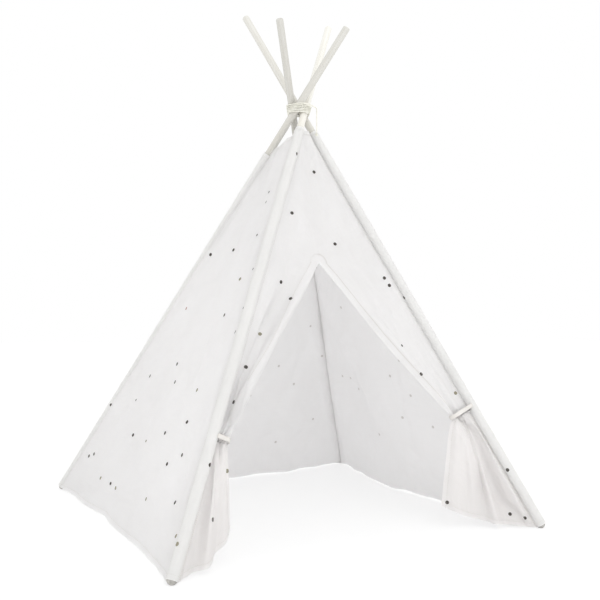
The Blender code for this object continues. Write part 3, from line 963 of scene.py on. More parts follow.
def flap_grid(door):
    """The hanging flap of one side, from its hem up to the tie."""
    flap_rise = (falling(flap_rows), door.flap_point, door.flap_depth)
    places, depths = fill(flap_columns, [flap_rise, tie_row(door)])
    grid = Grid(places, door.wall.outward)
    grid.push(depths)
    along = row_lengths(grid.points)
    up = column_lengths(grid.points)
    grid.edge_distance = np.minimum(along[:, -1:] - along, up)
    return grid


built = {side: door_grid(door) for side, door in door_sides.items()}
front_grids = {side: grid for side, (grid, depths) in built.items()}
join_header(front_grids)
for side, (grid, depths) in built.items():
    grid.push(depths)
    finish_distances(side, grid, door_rows + 1)
join_header(front_grids)

for side, door in door_sides.items():
    body = f"front_panel_{side}_half_group"
    sheet_grids[body] = front_grids[side]
    sheet_grids[f"flap_{side}"] = flap_grid(door)
    add_cloth(f"front_panel_{side}_half", sheet_grids[body], cotton, body)
    add_cloth(f"door_flap_{side}", sheet_grids[f"flap_{side}"], flap_cotton, body)

# %% [markdown]
# ## Sleeves
# Each corner of the cover is a long tube of cloth with a pole inside. The tube is a grid wound round
# the pole, a little uneven, because cloth is never as round as the wood in it.

# %% Sleeves
sleeve_start = -0.0036      # from the pole's end, so that the cloth covers most of the foot cap
sleeve_sides = 44
sleeve_rows = 230
sleeve_taper = 0.0006       # how much narrower the top is, where the poles come close together
taper_start = 0.25          # below its top
taper_length = 0.20
slack_height = 0.0007       # of the tube's unevenness, and of the finer part of it
finer_slack_height = 0.0003
slack_start = 0.014         # from the pole's end
slack_length = 0.02         # over which the tube becomes uneven


def near_top(pole, distance):
    """0 along most of the sleeve, and 1 over its topmost part."""
    return ease((distance - pole.sleeve_top + taper_start) / taper_length)


def sleeve_reach(pole, distance):
    return sleeve_radius - sleeve_taper * near_top(pole, distance)


def sleeve_point(pole, distance, angle):
    spot = Vector((math.cos(angle) * 1.3, math.sin(angle) * 1.3, distance * 16))
    slack = slack_height * noise.noise(spot) + finer_slack_height * noise.noise(spot * 2.3)
    slack *= ease((distance - slack_start) / slack_length) * (1 - 0.8 * near_top(pole, distance))
    return pole.around(distance, angle, sleeve_reach(pole, distance) + slack)


for pole in poles.values():
    length = pole.sleeve_top - sleeve_start
    heights = [sleeve_start + length * row / sleeve_rows for row in range(sleeve_rows + 1)]
    angles = [math.tau * side / sleeve_sides for side in range(sleeve_sides + 1)]
    grid = Grid([[sleeve_point(pole, height, angle) for angle in angles] for height in heights])
    up = column_lengths(grid.points)
    grid.edge_distance = np.minimum(up + 0.1, up[-1] - up)      # only its top end has a hem
    add_cloth(
        f"sleeve_{pole.name}", grid, sleeve_cotton, f"{pole.name}_pole",
        flat=(math.tau * sleeve_radius, length),
    )

# %% [markdown]
# ## Wood, metal and rubber
# The poles are pale, smooth softwood. Its grain runs along each pole, so a Mapping node turns the
# pattern to lie in that pole's line, and noise that is stretched along it gives the grain.

# %% Hard finishes
wood_light = (0.885, 0.88, 0.84)
wood_dark = (0.735, 0.705, 0.63)
# One wood at a brightness for each pole: partly each stick's own tone, partly painted shade, darkest on the
# back poles.
wood_tone_and_shade = {"front_left": 0.93, "front_right": 0.80, "back_right": 0.70, "back_left": 0.74}


def make_wood(pole):
    finish = Finish(f"pole_wood_{pole.name}")
    place = finish.node("ShaderNodeMapping", {"vector_type": "TEXTURE"}, {
        "Vector": finish.place(), "Location": pole.foot, "Rotation": pole.turn.to_euler(),
    })
    grain = finish.noise(place, (170, 170, 3.5), 4, 0.6)
    fibre = finish.noise(place, (700, 700, 22))
    broad = finish.noise(place, (12, 12, 2.0))
    share = finish.range(grain * 0.6 + fibre * 0.15 + broad * 0.25, 0.34, 0.66)
    dark, light = ([wood_tone_and_shade[pole.name] * part for part in wood] for wood in (wood_dark, wood_light))
    normal = finish.bump(grain + fibre * 0.5, 0.0003, 0.6)
    colour = finish.mixed(share, dark, light)
    return finish.done(finish.solid(colour, grain, (0.62, 0.48), normal, {"Specular IOR Level": 0.4}))


def make_metal():
    finish = Finish("ferrule_brushed_metal")
    rings = finish.noise(finish.place(), (60, 60, 900), 3)
    colour = finish.mixed(rings, (0.62, 0.62, 0.63), (0.78, 0.78, 0.79))
    return finish.done(finish.solid(colour, rings, (0.28, 0.42), levels={"Metallic": 1.0}))


def make_rubber():
    finish = Finish("cap_grey_rubber")
    dust = finish.noise(finish.place(), 90.0, 4, 0.6)
    colour = finish.mixed(finish.range(dust, 0.35, 0.7), (0.33, 0.32, 0.30), (0.50, 0.485, 0.46))
    normal = finish.bump(finish.noise(finish.place(), 900.0), 0.0002, 0.5)
    return finish.done(finish.solid(colour, dust, (0.68, 0.88), normal))


metal = make_metal()
rubber = make_rubber()
for name, pole in poles.items():
    wood = make_wood(pole)
    finishes = {"pole_lower": wood, "pole_upper": wood, "ferrule": metal, "foot_cap": rubber}
    for part, material in finishes.items():
        for slot in frame["nodes"][f"{part}_{name}"].material_slots:
            slot.material = material
print("dressed", len(finishes) * len(poles), "hard pieces")

# %% [markdown]
# ## Geometry Nodes kit
# Stitches, printed dots and rope strands all repeat. Each gets a small tree of Geometry Nodes, built
# here in code and run once. Its result is then kept as a plain mesh.

# %% Geometry Nodes kit
class Tree(Nodes):
    """A Geometry Nodes tree in the making. Its sizes are the modifier's inputs, with their defaults."""

    def __init__(self, name, sizes):
        super().__init__(bpy.data.node_groups.new(name, "GeometryNodeTree"))
        face = self.tree.interface
        face.new_socket("Geometry", in_out="INPUT", socket_type="NodeSocketGeometry")
        for label, value in sizes.items():
            kind = {int: "Int", float: "Float"}.get(type(value), label)
            made = face.new_socket(label, in_out="INPUT", socket_type=f"NodeSocket{kind}")
            if value is not None:
                made.default_value = value
        face.new_socket("Geometry", in_out="OUTPUT", socket_type="NodeSocketGeometry")
        self.geometry = self.node("NodeGroupInput")

    def given(self, label):
        return self.geometry.other(label)

    def vectors(self, operation, first, second):
        return self.node("ShaderNodeVectorMath", {"operation": operation}, {0: first, 1: second})

    def scaled(self, vector, share):
        return self.node("ShaderNodeVectorMath", {"operation": "SCALE"}, {0: vector, "Scale": share})

    def combined(self, *parts):
        return self.node("ShaderNodeCombineXYZ", {}, dict(enumerate(parts)))

    def stored(self, name, data_type="FLOAT_VECTOR"):
        """Reads an attribute that the source mesh carries."""
        return self.node("GeometryNodeInputNamedAttribute", {"data_type": data_type}, {"Name": name})

    def aligned(self, vector, axis, rotation=None, pivot="AUTO"):
        """A rotation that turns an axis to a vector."""
        inputs = {"Vector": vector} if rotation is None else {"Vector": vector, "Rotation": rotation}
        return self.node("FunctionNodeAlignRotationToVector", {"axis": axis, "pivot_axis": pivot}, inputs)

    def close(self, geometry):
        real = self.node("GeometryNodeRealizeInstances", {}, {0: geometry})
        inputs = {"Geometry": real, "Material": self.given("Material")}
        self.node("NodeGroupOutput", {}, {0: self.node("GeometryNodeSetMaterial", {}, inputs)})
        return self.tree


def grow(name, source, tree, sizes):
    """Runs a tree on a piece and returns the result as a plain piece."""
    modifier = source.modifiers.new("Grow", "NODES")
    modifier.node_group = tree
    for item in tree.interface.items_tree:
        if item.in_out == "INPUT" and item.name in sizes:
            modifier[item.identifier] = sizes[item.name]
    graph = bpy.context.evaluated_depsgraph_get()
    mesh = bpy.data.meshes.new_from_object(source.evaluated_get(graph), depsgraph=graph)
    source.modifiers.remove(modifier)
    bpy.data.objects.remove(source)
    mesh.name = name
    return add_piece(name, mesh)


def add_lines(name, routes, facings=None):
    """A piece made of bare edges, one run of them for each route, with the way that each point faces."""
    places = []
    edges = []
    for route in routes:
        start = len(places)
        places += [tuple(point) for point in route]
        edges += [(start + k, start + k + 1) for k in range(len(route) - 1)]
    mesh = bpy.data.meshes.new(name)
    mesh.from_pydata(places, edges, [])
    if facings:
        carry(mesh, "facing", facings)
    return add_piece(name, mesh)


print("the trees can be built")

# %% [markdown]
# ## Rope
# The lashing is a laid cord of three strands. The tree takes the cord's centreline, copies it once for
# each strand, and pushes each copy off the line in a direction that turns as it goes.

# %% Rope tree and finish
cord_radius = 0.002
strand_lay = 0.0115         # length of cord in which a strand goes once round
strand_share = 0.47         # of the cord's radius
strands = 3


def make_cord_finish():
    finish = Finish("lashing_cord_cotton")
    fuzz = finish.noise(finish.place(), 1400.0, 3, 0.6)
    tone = finish.range(finish.noise(finish.place(), 60.0, 3) * 0.6 + fuzz * 0.4, 0.35, 0.65)
    colour = finish.mixed(tone, (0.74, 0.73, 0.64), (0.90, 0.89, 0.83))
    return finish.done(finish.solid(colour, fuzz, (0.8, 0.95), finish.bump(fuzz, 0.0003, 0.7), faint_shine))


def make_rope_tree():
    tree = Tree("laid_cord", {"Radius": 0.002, "Lay": 0.01, "Step": 0.001, "Strands": 3, "Material": None})
    radius = tree.given("Radius")
    line = tree.node("GeometryNodeMeshToCurve", {}, {"Mesh": tree.geometry})
    resample = {"Curve": line, "Length": tree.given("Step")}
    line = tree.node("GeometryNodeResampleCurve", {"mode": "LENGTH"}, resample)
    duplicate = {"Geometry": line, "Amount": tree.given("Strands")}
    copies = tree.node("GeometryNodeDuplicateElements", {"domain": "SPLINE"}, duplicate)
    turns = tree.node("GeometryNodeSplineParameter", output="Length") / tree.given("Lay")
    angle = (turns + copies.other("Duplicate Index") / tree.given("Strands")) * math.tau
    aside = tree.node("GeometryNodeInputNormal")
    across = tree.vectors("CROSS_PRODUCT", tree.node("GeometryNodeInputTangent"), aside)
    strand = radius * strand_share
    offset = tree.vectors("ADD", tree.scaled(aside, angle.cosine()), tree.scaled(across, angle.sine()))
    moved = tree.node("GeometryNodeSetPosition", {}, {
        "Geometry": copies, "Offset": tree.scaled(offset, radius - strand),
    })
    profile = tree.node("GeometryNodeCurvePrimitiveCircle", {}, {"Resolution": 8, "Radius": strand})
    tube = tree.node("GeometryNodeCurveToMesh", {}, {
        "Curve": moved, "Profile Curve": profile, "Fill Caps": True,
    })
    return tree.close(tree.node("GeometryNodeSetShadeSmooth", {}, {0: tube}))


cord_finish = make_cord_finish()
rope_tree = make_rope_tree()


def add_rope(node, route, radius=cord_radius, lay=strand_lay):
    name = f"cord_{node}"
    sizes = {"Radius": radius, "Lay": lay, "Step": lay / 11, "Strands": strands, "Material": cord_finish}
    made = grow(name, add_lines(f"{name}_line", [route]), rope_tree, sizes)
    settle(made, "lashing_group", node)
    print(name, "faces:", len(made.data.polygons))
    return made


print("nodes in the rope tree:", len(rope_tree.nodes))

# %% [markdown]
# ## Lashing
# Six turns of cord bind the poles where they cross. The route is the one that the CAD winding follows,
# with more points. The cord's tail hangs down beside the front right pole and ends in a stopper knot.

# %% Lashing
lash_turns = 6
lash_pitch = 0.0047         # from one turn to the next
lash_room = 0.0006          # between the cord and the wood
loop_points = 96            # in each turn
lash_end_angle = math.radians(-100)     # round the crossing, where the winding ends
tail_angle = math.radians(-52)     # round the crossing, where the tail hangs
tail_reach = 0.060          # of the tail from the crossing's middle
tail_lead = 0.016           # how softly the tail bends from the winding to straight down
tail_drop = 0.075           # of the tail's end below the crossing
tail_spacing = 0.004        # of its points
bend_steps = 20


def lashing_points():
    wood_reach = max(pole_radius / pole.direction.z for pole in poles.values())
    reach = wood_reach + lash_room + cord_radius
    points = []
    total = lash_turns * loop_points
    for step in range(total + 1):
        angle = lash_end_angle + math.tau * (step - total) / loop_points
        height = lash_height + lash_pitch * (step / loop_points - lash_turns / 2)
        outward = Vector((math.cos(angle), math.sin(angle)))
        centres = [
            (pole.crossing + pole.direction * ((height - lash_height) / pole.direction.z)).xy
            for pole in poles.values()
        ]
        touched = max(centres, key=lambda centre: centre.dot(outward))
        place = touched + outward * reach
        points.append(Vector((place.x, place.y, height)))
    return points


def tail_route(start, heading, hang):
    """A smooth run from the winding's end, over to the hanging place and straight down."""
    bend = [start]
    a, b, c, d = start, start + heading * tail_lead, hang + Vector((0, 0, tail_lead / 2)), hang
    for step in range(1, bend_steps + 1):
        t = step / bend_steps
        ab, bc, cd = mix(a, b, t), mix(b, c, t), mix(c, d, t)
        bend.append(mix(mix(ab, bc, t), mix(bc, cd, t), t))
    end = Vector((hang.x, hang.y, lash_height - tail_drop))
    runs = round((hang.z - end.z) / tail_spacing)
    return bend + [mix(hang, end, step / runs) for step in range(1, runs + 1)]


winding = lashing_points()
heading = (winding[-1] - winding[-2]).normalized()
tail_start = winding[-1] + heading * (2 * cord_radius + seat_gap)
tail_hang = Vector((
    math.cos(tail_angle) * tail_reach,
    math.sin(tail_angle) * tail_reach - lash_forward,
    tail_start.z - tail_lead,
))
tail_points = tail_route(tail_start, heading, tail_hang)
tail_length = sum((b - a).length for a, b in zip(tail_points, tail_points[1:]))
print("tail in mm:", round(tail_length * 1000, 1))

add_rope("lashing", [*winding, winding[-1] + heading * 2 * cord_radius])

# %% [markdown]
# The stopper is an overhand knot: a line that winds round itself like a pretzel, pulled small.

# %% Tail and its knot
knot_radius = 0.0048
knot_length = 0.010
lobe_radius = knot_radius - 0.0016      # of the cord's middle line
lobe_rise = 0.0026          # how far the cord goes over and under itself
knot_cord_radius = 0.0019
knot_lay = 0.009
knot_steps = 72


def knot_route(top):
    """An overhand knot below a point, on the line of a three-lobed loop."""
    points = []
    for step in range(knot_steps + 1):
        t = mix(0.04, 0.96, step / knot_steps) * math.tau
        x = (math.sin(t) + 2 * math.sin(2 * t)) / 3
        y = (math.cos(t) - 2 * math.cos(2 * t)) / 3
        lobe = Vector((x, y, 0)) * lobe_radius
        points.append(top + lobe - Vector((0, 0, knot_length / 2 + math.sin(3 * t) * lobe_rise)))
    return points


tail = add_rope("lashing_tail", tail_points)
knot = add_rope("lashing_tail_knot", knot_route(tail_points[-1]), knot_cord_radius, knot_lay)
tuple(tail_points[0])

# %% [markdown]
# ## Tie tapes
# A strip of twill tape is sewn to the sleeve, goes round the bunched cloth and back to the sleeve.

# %% Tie tapes
tape_width = 0.0115
tape_thickness = 0.0012
tie_end_gap = 0.0006        # between its ends and the sleeve
tape_levels = (-1, -0.8, -0.4, 0, 0.4, 0.8, 1)      # across its width
tape_wave = 0.0004          # of the small waves along the tape's middle
rib_pitch = 0.0018
straight_steps = 14         # along each side of the bunch
round_steps = 28            # round its far side


def make_tape_finish():
    finish = Finish("tie_tape_twill")
    place = finish.place("UV")
    along = finish.node("ShaderNodeSeparateXYZ", {}, {0: place})
    rib = ((along + (along.other(1) - 0.5).size() * 0.02) * (math.tau / rib_pitch)).sine()
    tone = finish.noise(place, 30.0, 3)
    share = finish.range(tone + rib * 0.08, 0.3, 0.7)
    # The tape's tone is below the cloth's: partly its own colour, partly painted shade of the bunched cloth
    # round it.
    colour = finish.mixed(share, (0.70, 0.675, 0.64), (0.79, 0.77, 0.735))
    return finish.done(finish.solid(colour, tone, (0.85, 0.95), finish.bump(rib, 0.0002, 0.8)))


def add_tape(side, door, material):
    """The tape as a grid: across its width, and along its way round the bunch."""
    reach = sleeve_radius + tie_end_gap
    near = math.sqrt(reach**2 - tie_loop_radius**2)
    centre = door.reach + tie_loop_room - tie_loop_radius
    side_x = [mix(near, centre, step / straight_steps) for step in range(straight_steps)]
    way = [(x, tie_loop_radius, math.pi / 2) for x in side_x]
    for step in range(round_steps + 1):
        angle = mix(math.pi / 2, -math.pi / 2, step / round_steps)
        way.append((centre + tie_loop_radius * math.cos(angle), tie_loop_radius * math.sin(angle), angle))
    way += [(x, -tie_loop_radius, -math.pi / 2) for x in reversed(side_x)]
    rows = []
    for level in tape_levels:
        row = []
        for count, (x, y, angle) in enumerate(way):
            out = tape_thickness / 2 + tape_wave * math.sin(count * 1.9) * (1 - level**2)
            spot = door.across * (x + out * math.cos(angle)) + door.outward * (y + out * math.sin(angle))
            row.append(door.tie + spot + door.pole.direction * level * tape_width / 2)
        rows.append(row)
    grid = Grid(rows, door.across)
    made = add_sheet(f"tape_door_tie_{side}", grid, material, tape_thickness)
    settle(made, f"front_panel_{side}_half_group", f"door_tie_{side}")
    print(made.name, "length:", round(grid.flat_size()[0], 3))


tape_finish = make_tape_finish()
for side, door in door_sides.items():
    add_tape(side, door, tape_finish)

# %% [markdown]
# ## Stitches
# Seams and hems are sewn with cream thread. The tree walks along each seam line in equal steps and sets
# a small flattened bead on every step, turned along the seam and half sunk in the cloth.

# %% Stitch tree and thread
stitch_pitch = 0.0048
stitch_length = 0.0032
stitch_width = 0.0008
seam_inset = 0.006          # from the sleeve to the row of stitches beside it
ring_steps = 48             # round a sleeve
ring_lift = 0.0006          # of its stitches off the sleeve's middle


def make_thread():
    finish = Finish("thread_cream")
    twist = finish.noise(finish.place(), 1500.0)
    colour = finish.mixed(finish.range(twist, 0.35, 0.65), (0.62, 0.60, 0.54), (0.78, 0.76, 0.70))
    return finish.done(finish.solid(colour, twist, (0.65, 0.8), finish.bump(twist, 0.0002, 0.6)))


def make_stitch_tree():
    tree = Tree("stitch_row", {"Pitch": 0.005, "Length": 0.003, "Width": 0.001, "Material": None})
    line = tree.node("GeometryNodeMeshToCurve", {}, {"Mesh": tree.geometry})
    walk = {"Curve": line, "Length": tree.given("Pitch")}
    steps = tree.node("GeometryNodeCurveToPoints", {"mode": "LENGTH"}, walk)
    upright = tree.aligned(tree.stored("facing"), "Z")
    half_width = tree.given("Width") * 0.5
    bead = tree.node("GeometryNodeMeshIcoSphere", {}, {"Radius": 1.0, "Subdivisions": 1})
    beads = tree.node("GeometryNodeInstanceOnPoints", {}, {
        "Points": steps, "Instance": bead,
        "Rotation": tree.aligned(steps.other("Tangent"), "X", upright, "Z"),
        "Scale": tree.combined(tree.given("Length") * 0.5, half_width, half_width),
    })
    return tree.close(tree.node("GeometryNodeSetShadeSmooth", {}, {0: beads}))


thread = make_thread()
stitch_tree = make_stitch_tree()
print("stitches every", stitch_pitch * 1000, "mm")

# %% [markdown]
# A seam is found by walking from an edge of the grid into the cloth, row by row, until a set distance is
# behind. Such a line dips into every fold, as a real seam does.

# %% Sew the seams and hems
def inset(points, normals, distance):
    """The line at a distance, or one for each row, from where the rows begin, and the way it faces."""
    line = []
    facings = []
    distances = np.broadcast_to(distance, len(points))
    for row, turns, along, reach in zip(points, normals, row_lengths(points), distances):
        spot = np.array([np.interp(reach, along, row[:, k]) for k in range(3)])
        turn = np.array([np.interp(reach, along, turns[:, k]) for k in range(3)])
        line.append(spot + turn * cloth_thickness / 2)
        facings.append(turn)
    return line, facings


def side_lines(grid, sides):
    """The stitch lines along some sides of a grid, given as side and distance."""
    views = {
        "first": (grid.points, grid.normals),
        "last": (grid.points[:, ::-1], grid.normals[:, ::-1]),
        "hem": (grid.points.swapaxes(0, 1), grid.normals.swapaxes(0, 1)),
        "top": (grid.points[::-1].swapaxes(0, 1), grid.normals[::-1].swapaxes(0, 1)),
    }
    return [inset(*views[side], distance) for side, distance in sides]


def sew(name, body, lines):
    routes = [line for line, facings in lines]
    facings = [turn for line, turns in lines for turn in turns]
    sizes = {"Pitch": stitch_pitch, "Length": stitch_length, "Width": stitch_width, "Material": thread}
    made = grow(f"stitches_{name}", add_lines(f"{name}_seams", routes, facings), stitch_tree, sizes)
    settle(made, body)
    return len(made.data.polygons) // 20


def sleeve_ring(pole, distance):
    line = []
    facings = []
    for step in range(ring_steps + 1):
        angle = math.tau * step / ring_steps
        spot = pole.around(distance, angle, sleeve_reach(pole, distance) + ring_lift)
        line.append(spot)
        facings.append((spot - pole.at(distance)).normalized())
    return line, facings


edge_inset = 0.001          # from the turned-in cloth's edge to its stitches
ring_insets = (0.012, 0.010)    # from a sleeve's lower and upper end to the rings of stitches
hem_inset = hem_band - edge_inset
total = 0
for pieces in wall_halves.values():
    for piece, side in zip(pieces, ("first", "last")):
        body = f"{piece}_group"
        edges = ((side, seam_inset), ("hem", hem_inset), ("top", hem_inset))
        total += sew(piece, body, side_lines(sheet_grids[body], edges))
for side in door_sides:
    body = f"front_panel_{side}_half_group"
    grid = sheet_grids[body]
    lines = side_lines(grid, (("first", seam_inset), ("top", hem_inset)))
    slit_rows = door_rows + 2
    reaches = [facing_width(side, row) - edge_inset for row in range(slit_rows)]
    lines.append(inset(grid.points[:slit_rows, ::-1], grid.normals[:slit_rows, ::-1], reaches))
    total += sew(f"front_{side}", body, lines)
    edges = (("first", seam_inset), ("last", hem_inset), ("hem", hem_inset))
    total += sew(f"door_flap_{side}", body, side_lines(sheet_grids[f"flap_{side}"], edges))
for pole in poles.values():
    ends = (sleeve_start + ring_insets[0], pole.sleeve_top - ring_insets[1])
    total += sew(f"sleeve_{pole.name}", f"{pole.name}_pole", [sleeve_ring(pole, end) for end in ends])
print("stitches:", total)

# %% [markdown]
# ## Printed dots
# The cotton is printed with small scattered dots. Each dot that the photograph shows is set where the
# line of sight through it meets the cloth. Where the photograph shows no cloth, chance scatters them as
# densely. The ink shows faintly on the other side of the thin cloth too.

# %% Where the dots are
seen_dots = {
    "dark": [
        (297, 154), (314, 172), (269, 192), (266, 202), (292, 213), (257, 235), (233.5, 250),
        (210.6, 254.6), (335, 244), (253, 269), (281, 282), (290.6, 298.5), (224.4, 315), (177, 364),
        (150, 376), (175, 382), (111, 405), (136, 400), (187, 422), (133, 435), (165, 433), (89, 456),
        (94, 454), (182, 455), (167, 464), (110.6, 483.5), (175, 502.5), (213, 519.6), (246, 367),
        (233.5, 402), (210, 465), (384.4, 278), (389.4, 285.4), (403.8, 297.8), (402, 345.6),
        (421.3, 374), (507.5, 470), (447.2, 502.4), (510, 514), (525, 518),
    ],
    "olive": [
        (240, 279), (197, 390), (146, 441), (115.6, 488), (146, 499), (176, 536), (177, 544),
        (260, 334), (227, 471), (455.6, 393), (100.6, 478),
    ],
    "rust": [(186.3, 308.4)],
    "through": [
        (278.8, 366), (293.8, 384), (310.6, 326), (322, 356), (313, 419), (275.6, 442), (341, 307.5),
        (342.5, 376), (350.6, 378), (358.8, 389), (390, 376), (410.6, 395.6), (402.5, 417.5),
        (433, 427), (379.4, 434.4),
    ],
}
inks = tuple(seen_dots)
ink_chances = (80, 15, 5)   # of the first three, where the photograph shows no cloth
# Those among them that look smaller.
small_dots = {(269, 192), (266, 202), (257, 235), (253, 269), (136, 400), (146, 441), (402, 345.6)}
dot_width = 0.0108
small_width = 0.0082
dots_per_area = 42          # in a square metre
dot_spacing = 0.055
seen_within = 0.004         # of the first cloth on the line of sight
tries_per_dot = 12


def sight_line(x, y):
    """The direction in which the camera sees a place of the picture."""
    scale = focal_share * picture_width
    middle = picture_width / 2
    return (forward + camera_right * ((x - middle) / scale) + camera_up * ((middle - y) / scale)).normalized()


cloths = {piece.name: piece for piece in bpy.data.objects if piece.name.startswith("cloth_")}
cloth_trees = {
    name: BVHTree.FromPolygons(
        [v.co for v in piece.data.vertices], [p.vertices for p in piece.data.polygons],
    )
    for name, piece in cloths.items()
}


def first_cloth(start, direction):
    """The first cloth in a direction: its name, the place and the way it faces there."""
    best = None
    for name, tree in cloth_trees.items():
        place, normal, face, distance = tree.ray_cast(start, direction)
        if place is not None and (best is None or distance < best[3]):
            best = (name, place, normal if normal.dot(direction) < 0 else -normal, distance)
    return best[:3] if best else None


dots = {name: [] for name in cloths}    # for each cloth: place, facing, ink and width


def add_dot(name, place, facing, ink, width):
    """A dot on the printed face, and its faint trace on the other face."""
    if ink == "through":
        place, facing, ink = place - facing * cloth_thickness, -facing, "dark"
    dots[name].append((place, facing, ink, width))
    if "sleeve" not in name:
        dots[name].append((place - facing * cloth_thickness, -facing, "through", width * 0.9))


for ink, pixels in seen_dots.items():
    for pixel in pixels:
        found = first_cloth(camera_place, sight_line(*pixel))
        if found is None:
            print("no cloth at", pixel)
            continue
        add_dot(*found, ink, small_width if pixel in small_dots else dot_width)
print("dots that the photograph shows:", sum(len(pixels) for pixels in seen_dots.values()))

# %% [markdown]
# Elsewhere, places are drawn by chance. One is kept where the camera can't see it and no other dot is
# near. The seed is fixed, so each run prints the same dots.

# %% Scatter the dots that it doesn't show
chance = random.Random(11)
free_columns = 4            # beside a cloth's seams, without dots
free_rows = 5               # below its top
hem_rows = 2                # above its hem
dotted_share = 0.97         # of its height


def is_seen(place):
    found = first_cloth(camera_place, (place - camera_place).normalized())
    return found is not None and (found[1] - place).length < seen_within


def scatter(name, grid):
    wanted = round(grid.area() * dots_per_area)
    printed = sum(1 for dot in dots[name] if dot[2] != "through")
    rows, columns = grid.points.shape[:2]
    for attempt in range(wanted * tries_per_dot):
        if printed >= wanted:
            break
        # Cloth is wider low down, so more of the rows are drawn from there.
        row = int(rows * (1 - math.sqrt(chance.random())) * dotted_share) + hem_rows
        column = chance.randrange(free_columns, columns - free_columns)
        if row > rows - free_rows:
            continue
        place = Vector(grid.points[row, column])
        facing = Vector(grid.normals[row, column])
        crowded = any((place - dot[0]).length < dot_spacing for dot in dots[name])
        if crowded or is_seen(place):
            continue
        ink = chance.choices(inks[:3], ink_chances)[0]
        width = chance.choice((small_width, dot_width, dot_width))
        add_dot(name, place + facing * cloth_thickness / 2, facing, ink, width)
        printed += 1


for name, pieces in wall_halves.items():
    for piece in pieces:
        scatter(f"cloth_{piece}", sheet_grids[f"{piece}_group"])
for side in door_sides:
    scatter(f"cloth_front_panel_{side}_half", sheet_grids[f"front_panel_{side}_half_group"])
    scatter(f"cloth_door_flap_{side}", sheet_grids[f"flap_{side}"])
print("dots in all:", sum(1 for group in dots.values() for dot in group if dot[2] != "through"))

# %% [markdown]
# The tree for the dots copies one thin disc to every place, turns it to the cloth and then lays each of
# its corners on the nearest point of the cloth, so that a dot bends with the folds.

# %% Dot tree and ink
dot_lift = 0.00022          # of a dot's face off the cloth, and of its back into it
ink_colours = ((0.040, 0.032, 0.026), (0.26, 0.24, 0.17), (0.36, 0.14, 0.09), (0.72, 0.70, 0.68))
worn_ink = (0.80, 0.79, 0.77)


def make_ink():
    """One material for all the inks: a ramp with an even step for each of them."""
    finish = Finish("print_ink")
    ink = finish.node("ShaderNodeValToRGB", {}, {"Fac": finish.carried("ink")})
    ramp = ink.socket.node.color_ramp
    ramp.interpolation = "CONSTANT"
    while len(ramp.elements) < len(ink_colours):
        ramp.elements.new(1)
    for count, (element, colour) in enumerate(zip(ramp.elements, ink_colours)):
        element.position = count / len(ink_colours)
        element.color = (*colour, 1)
    grain = finish.noise(finish.place(), 900.0, 3, 0.6)
    colour = finish.mixed(finish.range(grain, 0.45, 0.75, 0, 0.25), ink, worn_ink)
    return finish.done(finish.solid(colour, grain, (0.8, 0.95), finish.bump(grain, 0.0002, 0.6), faint_shine))


def make_dot_tree():
    tree = Tree("printed_dots", {"Lift": 0.0002, "Object": None, "Material": None})
    disc = tree.node("GeometryNodeMeshCylinder", {"fill_type": "TRIANGLE_FAN"}, {
        "Vertices": 14, "Fill Segments": 2, "Radius": 0.5, "Depth": 2.0,
    })
    height = tree.node("ShaderNodeSeparateXYZ", {}, {0: tree.node("GeometryNodeInputPosition")}, "Z")
    marked = tree.node("GeometryNodeStoreNamedAttribute", {"data_type": "FLOAT", "domain": "POINT"}, {
        "Geometry": disc, "Name": "side", "Value": height,
    })
    width = tree.stored("width", "FLOAT")
    copies = tree.node("GeometryNodeInstanceOnPoints", {}, {
        "Points": tree.geometry, "Instance": marked,
        "Rotation": tree.aligned(tree.stored("facing"), "Z"),
        "Scale": tree.combined(width, width, tree.given("Lift")),
    })
    real = tree.node("GeometryNodeRealizeInstances", {}, {0: copies})
    cloth = tree.node("GeometryNodeObjectInfo", {}, {"Object": tree.given("Object")}, "Geometry")
    on_cloth = tree.node("GeometryNodeProximity", {"target_element": "FACES"}, {0: cloth}, "Position")
    off_cloth = tree.scaled(tree.stored("facing"), tree.stored("side", "FLOAT") * tree.given("Lift"))
    return tree.close(tree.node("GeometryNodeSetPosition", {}, {
        "Geometry": real, "Position": tree.vectors("ADD", on_cloth, off_cloth),
    }))


def add_points(name, group):
    mesh = bpy.data.meshes.new(name)
    mesh.from_pydata([place for place, facing, ink, width in group], [], [])
    carry(mesh, "facing", [facing for place, facing, ink, width in group])
    carry(mesh, "ink", [(inks.index(ink) + 0.5) / len(inks) for place, facing, ink, width in group])
    carry(mesh, "width", [width for place, facing, ink, width in group])
    return add_piece(name, mesh)


ink_finish = make_ink()
dot_tree = make_dot_tree()
for name, group in dots.items():
    if not group:
        continue
    sizes = {"Lift": dot_lift, "Object": cloths[name], "Material": ink_finish}
    made = grow(name.replace("cloth", "print_dots"), add_points(f"{name}_places", group), dot_tree, sizes)
    settle(made, body_of(cloths[name])[0])
    print(made.name, "dots:", len(group), "faces:", len(made.data.polygons))
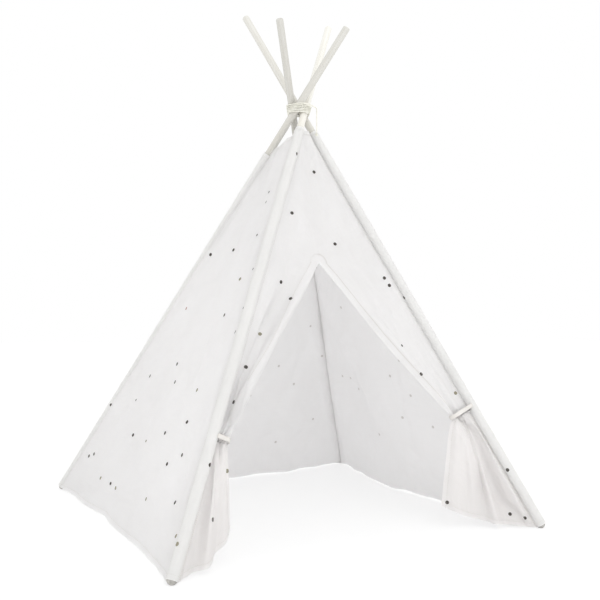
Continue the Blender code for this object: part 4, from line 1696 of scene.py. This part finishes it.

# %% [markdown]
# ## Folding
# When the poles come together, each wall folds in two and its halves are pressed flat against each
# other. A half that stays as stiff as a board would gape at the fold line, and the flaps, which hang
# straight down from their tapes, would cut through each other. The table gives, for each half, the way
# that the plane from its seam to the place where the two folded halves meet faces, in the standing
# teepee. Here every piece that rides on a half gets a mesh of its own, and the pieces are counted.

# %% Give each half's pieces a mesh of their own
press_directions = {
    "left_panel_back_half": (-0.9319, -0.1591, 0.3258),
    "left_panel_front_half": (-0.9153, 0.1076, 0.3882),
    "back_panel_left_half": (0.1739, 0.8941, 0.4127),
    "back_panel_right_half": (-0.2078, 0.9026, 0.3771),
    "right_panel_back_half": (0.9235, -0.1645, 0.3466),
    "right_panel_front_half": (0.9162, 0.2558, 0.3085),
    "front_panel_left_half": (0.2215, -0.9454, 0.2390),
    "front_panel_right_half": (0.1046, -0.9105, 0.4001),
}
second_halves = [second for first, second in wall_halves.values()]
for half, direction in press_directions.items():
    points = sheet_grids[f"{half}_group"].points
    seam_column = -1 if half in second_halves else 0
    seam_point = points[len(points) // 2, seam_column]
    pieces = [
        piece for piece in bpy.data.objects
        if piece.get("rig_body") == f"{half}_group" and piece.name not in frame["nodes"]
    ]
    for piece in pieces:
        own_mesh(piece)
        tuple(seam_point)
    print(half, "pieces:", len(pieces))

# %% [markdown]
# ## Light and floor
# A white room lights the cloth evenly, and one large soft lamp in front gives the folds a little shape.
# The camera sees the room as pure white, while the floor keeps the soft shadow under the teepee.

# %% Light and floor
room_light = 1.15           # on everything but what the camera sees directly
floor_half = 12.0
floor_glow = 0.64           # how far the camera sees the floor as pure white


def make_world():
    world = bpy.data.worlds.new("white_room")
    bpy.context.scene.world = world
    world.use_nodes = True
    nodes = Nodes(world.node_tree)
    seen = nodes.node("ShaderNodeLightPath", output="Is Camera Ray")
    mirrored = seen.other("Is Glossy Ray").larger(seen.other("Is Transmission Ray"))
    dull, white = (
        nodes.node("ShaderNodeBackground", {}, {"Color": (1, 1, 1, 1), "Strength": strength})
        for strength in (room_light, 1.0)
    )
    both = nodes.node("ShaderNodeMixShader", {}, {0: seen.larger(mirrored), 1: dull, 2: white})
    nodes.node("ShaderNodeOutputWorld", {}, {0: both})


def add_lamp(name, place, target, size, power):
    data = bpy.data.lights.new(name, "AREA")
    data.shape = "SQUARE"
    data.size = size
    data.energy = power
    lamp = show(bpy.data.objects.new(name, data))
    lamp.location = place
    lamp.rotation_euler = (Vector(target) - Vector(place)).to_track_quat("-Z", "Y").to_euler()


def make_floor():
    finish = Finish("floor_white")
    white = finish.node("ShaderNodeEmission", {}, {"Color": (1, 1, 1, 1), "Strength": 1.0})
    dull = finish.node("ShaderNodeBsdfDiffuse", {}, {"Color": (1, 1, 1, 1)})
    seen = finish.node("ShaderNodeLightPath", output="Is Camera Ray")
    shader = finish.node("ShaderNodeMixShader", {}, {0: seen * floor_glow, 1: dull, 2: white})
    mesh = bpy.data.meshes.new("floor")
    f = floor_half
    mesh.from_pydata([(-f, -f, 0), (f, -f, 0), (f, f, 0), (-f, f, 0)], [], [(0, 1, 2, 3)])
    add_piece("floor", mesh, finish.done(shader))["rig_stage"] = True


make_world()
make_floor()
add_lamp("soft_key", (0.1, -3.6, 3.4), (0, 0, 0.6), 3.2, 28)
bpy.context.scene.view_settings.view_transform = "Standard"

# %% [markdown]
# ## Size
# The box round the dressed model is measured beside the box of the CAD model, and how much it grew is
# printed, so that the two can be compared.

low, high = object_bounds()
sizes = {"cad": [list(cad_low), list(cad_high)], "visual": [list(low), list(high)]}
print("grew by mm:", [round((a - b) * 1000, 1) for a, b in zip([*high, *cad_low], [*cad_high, *low])])
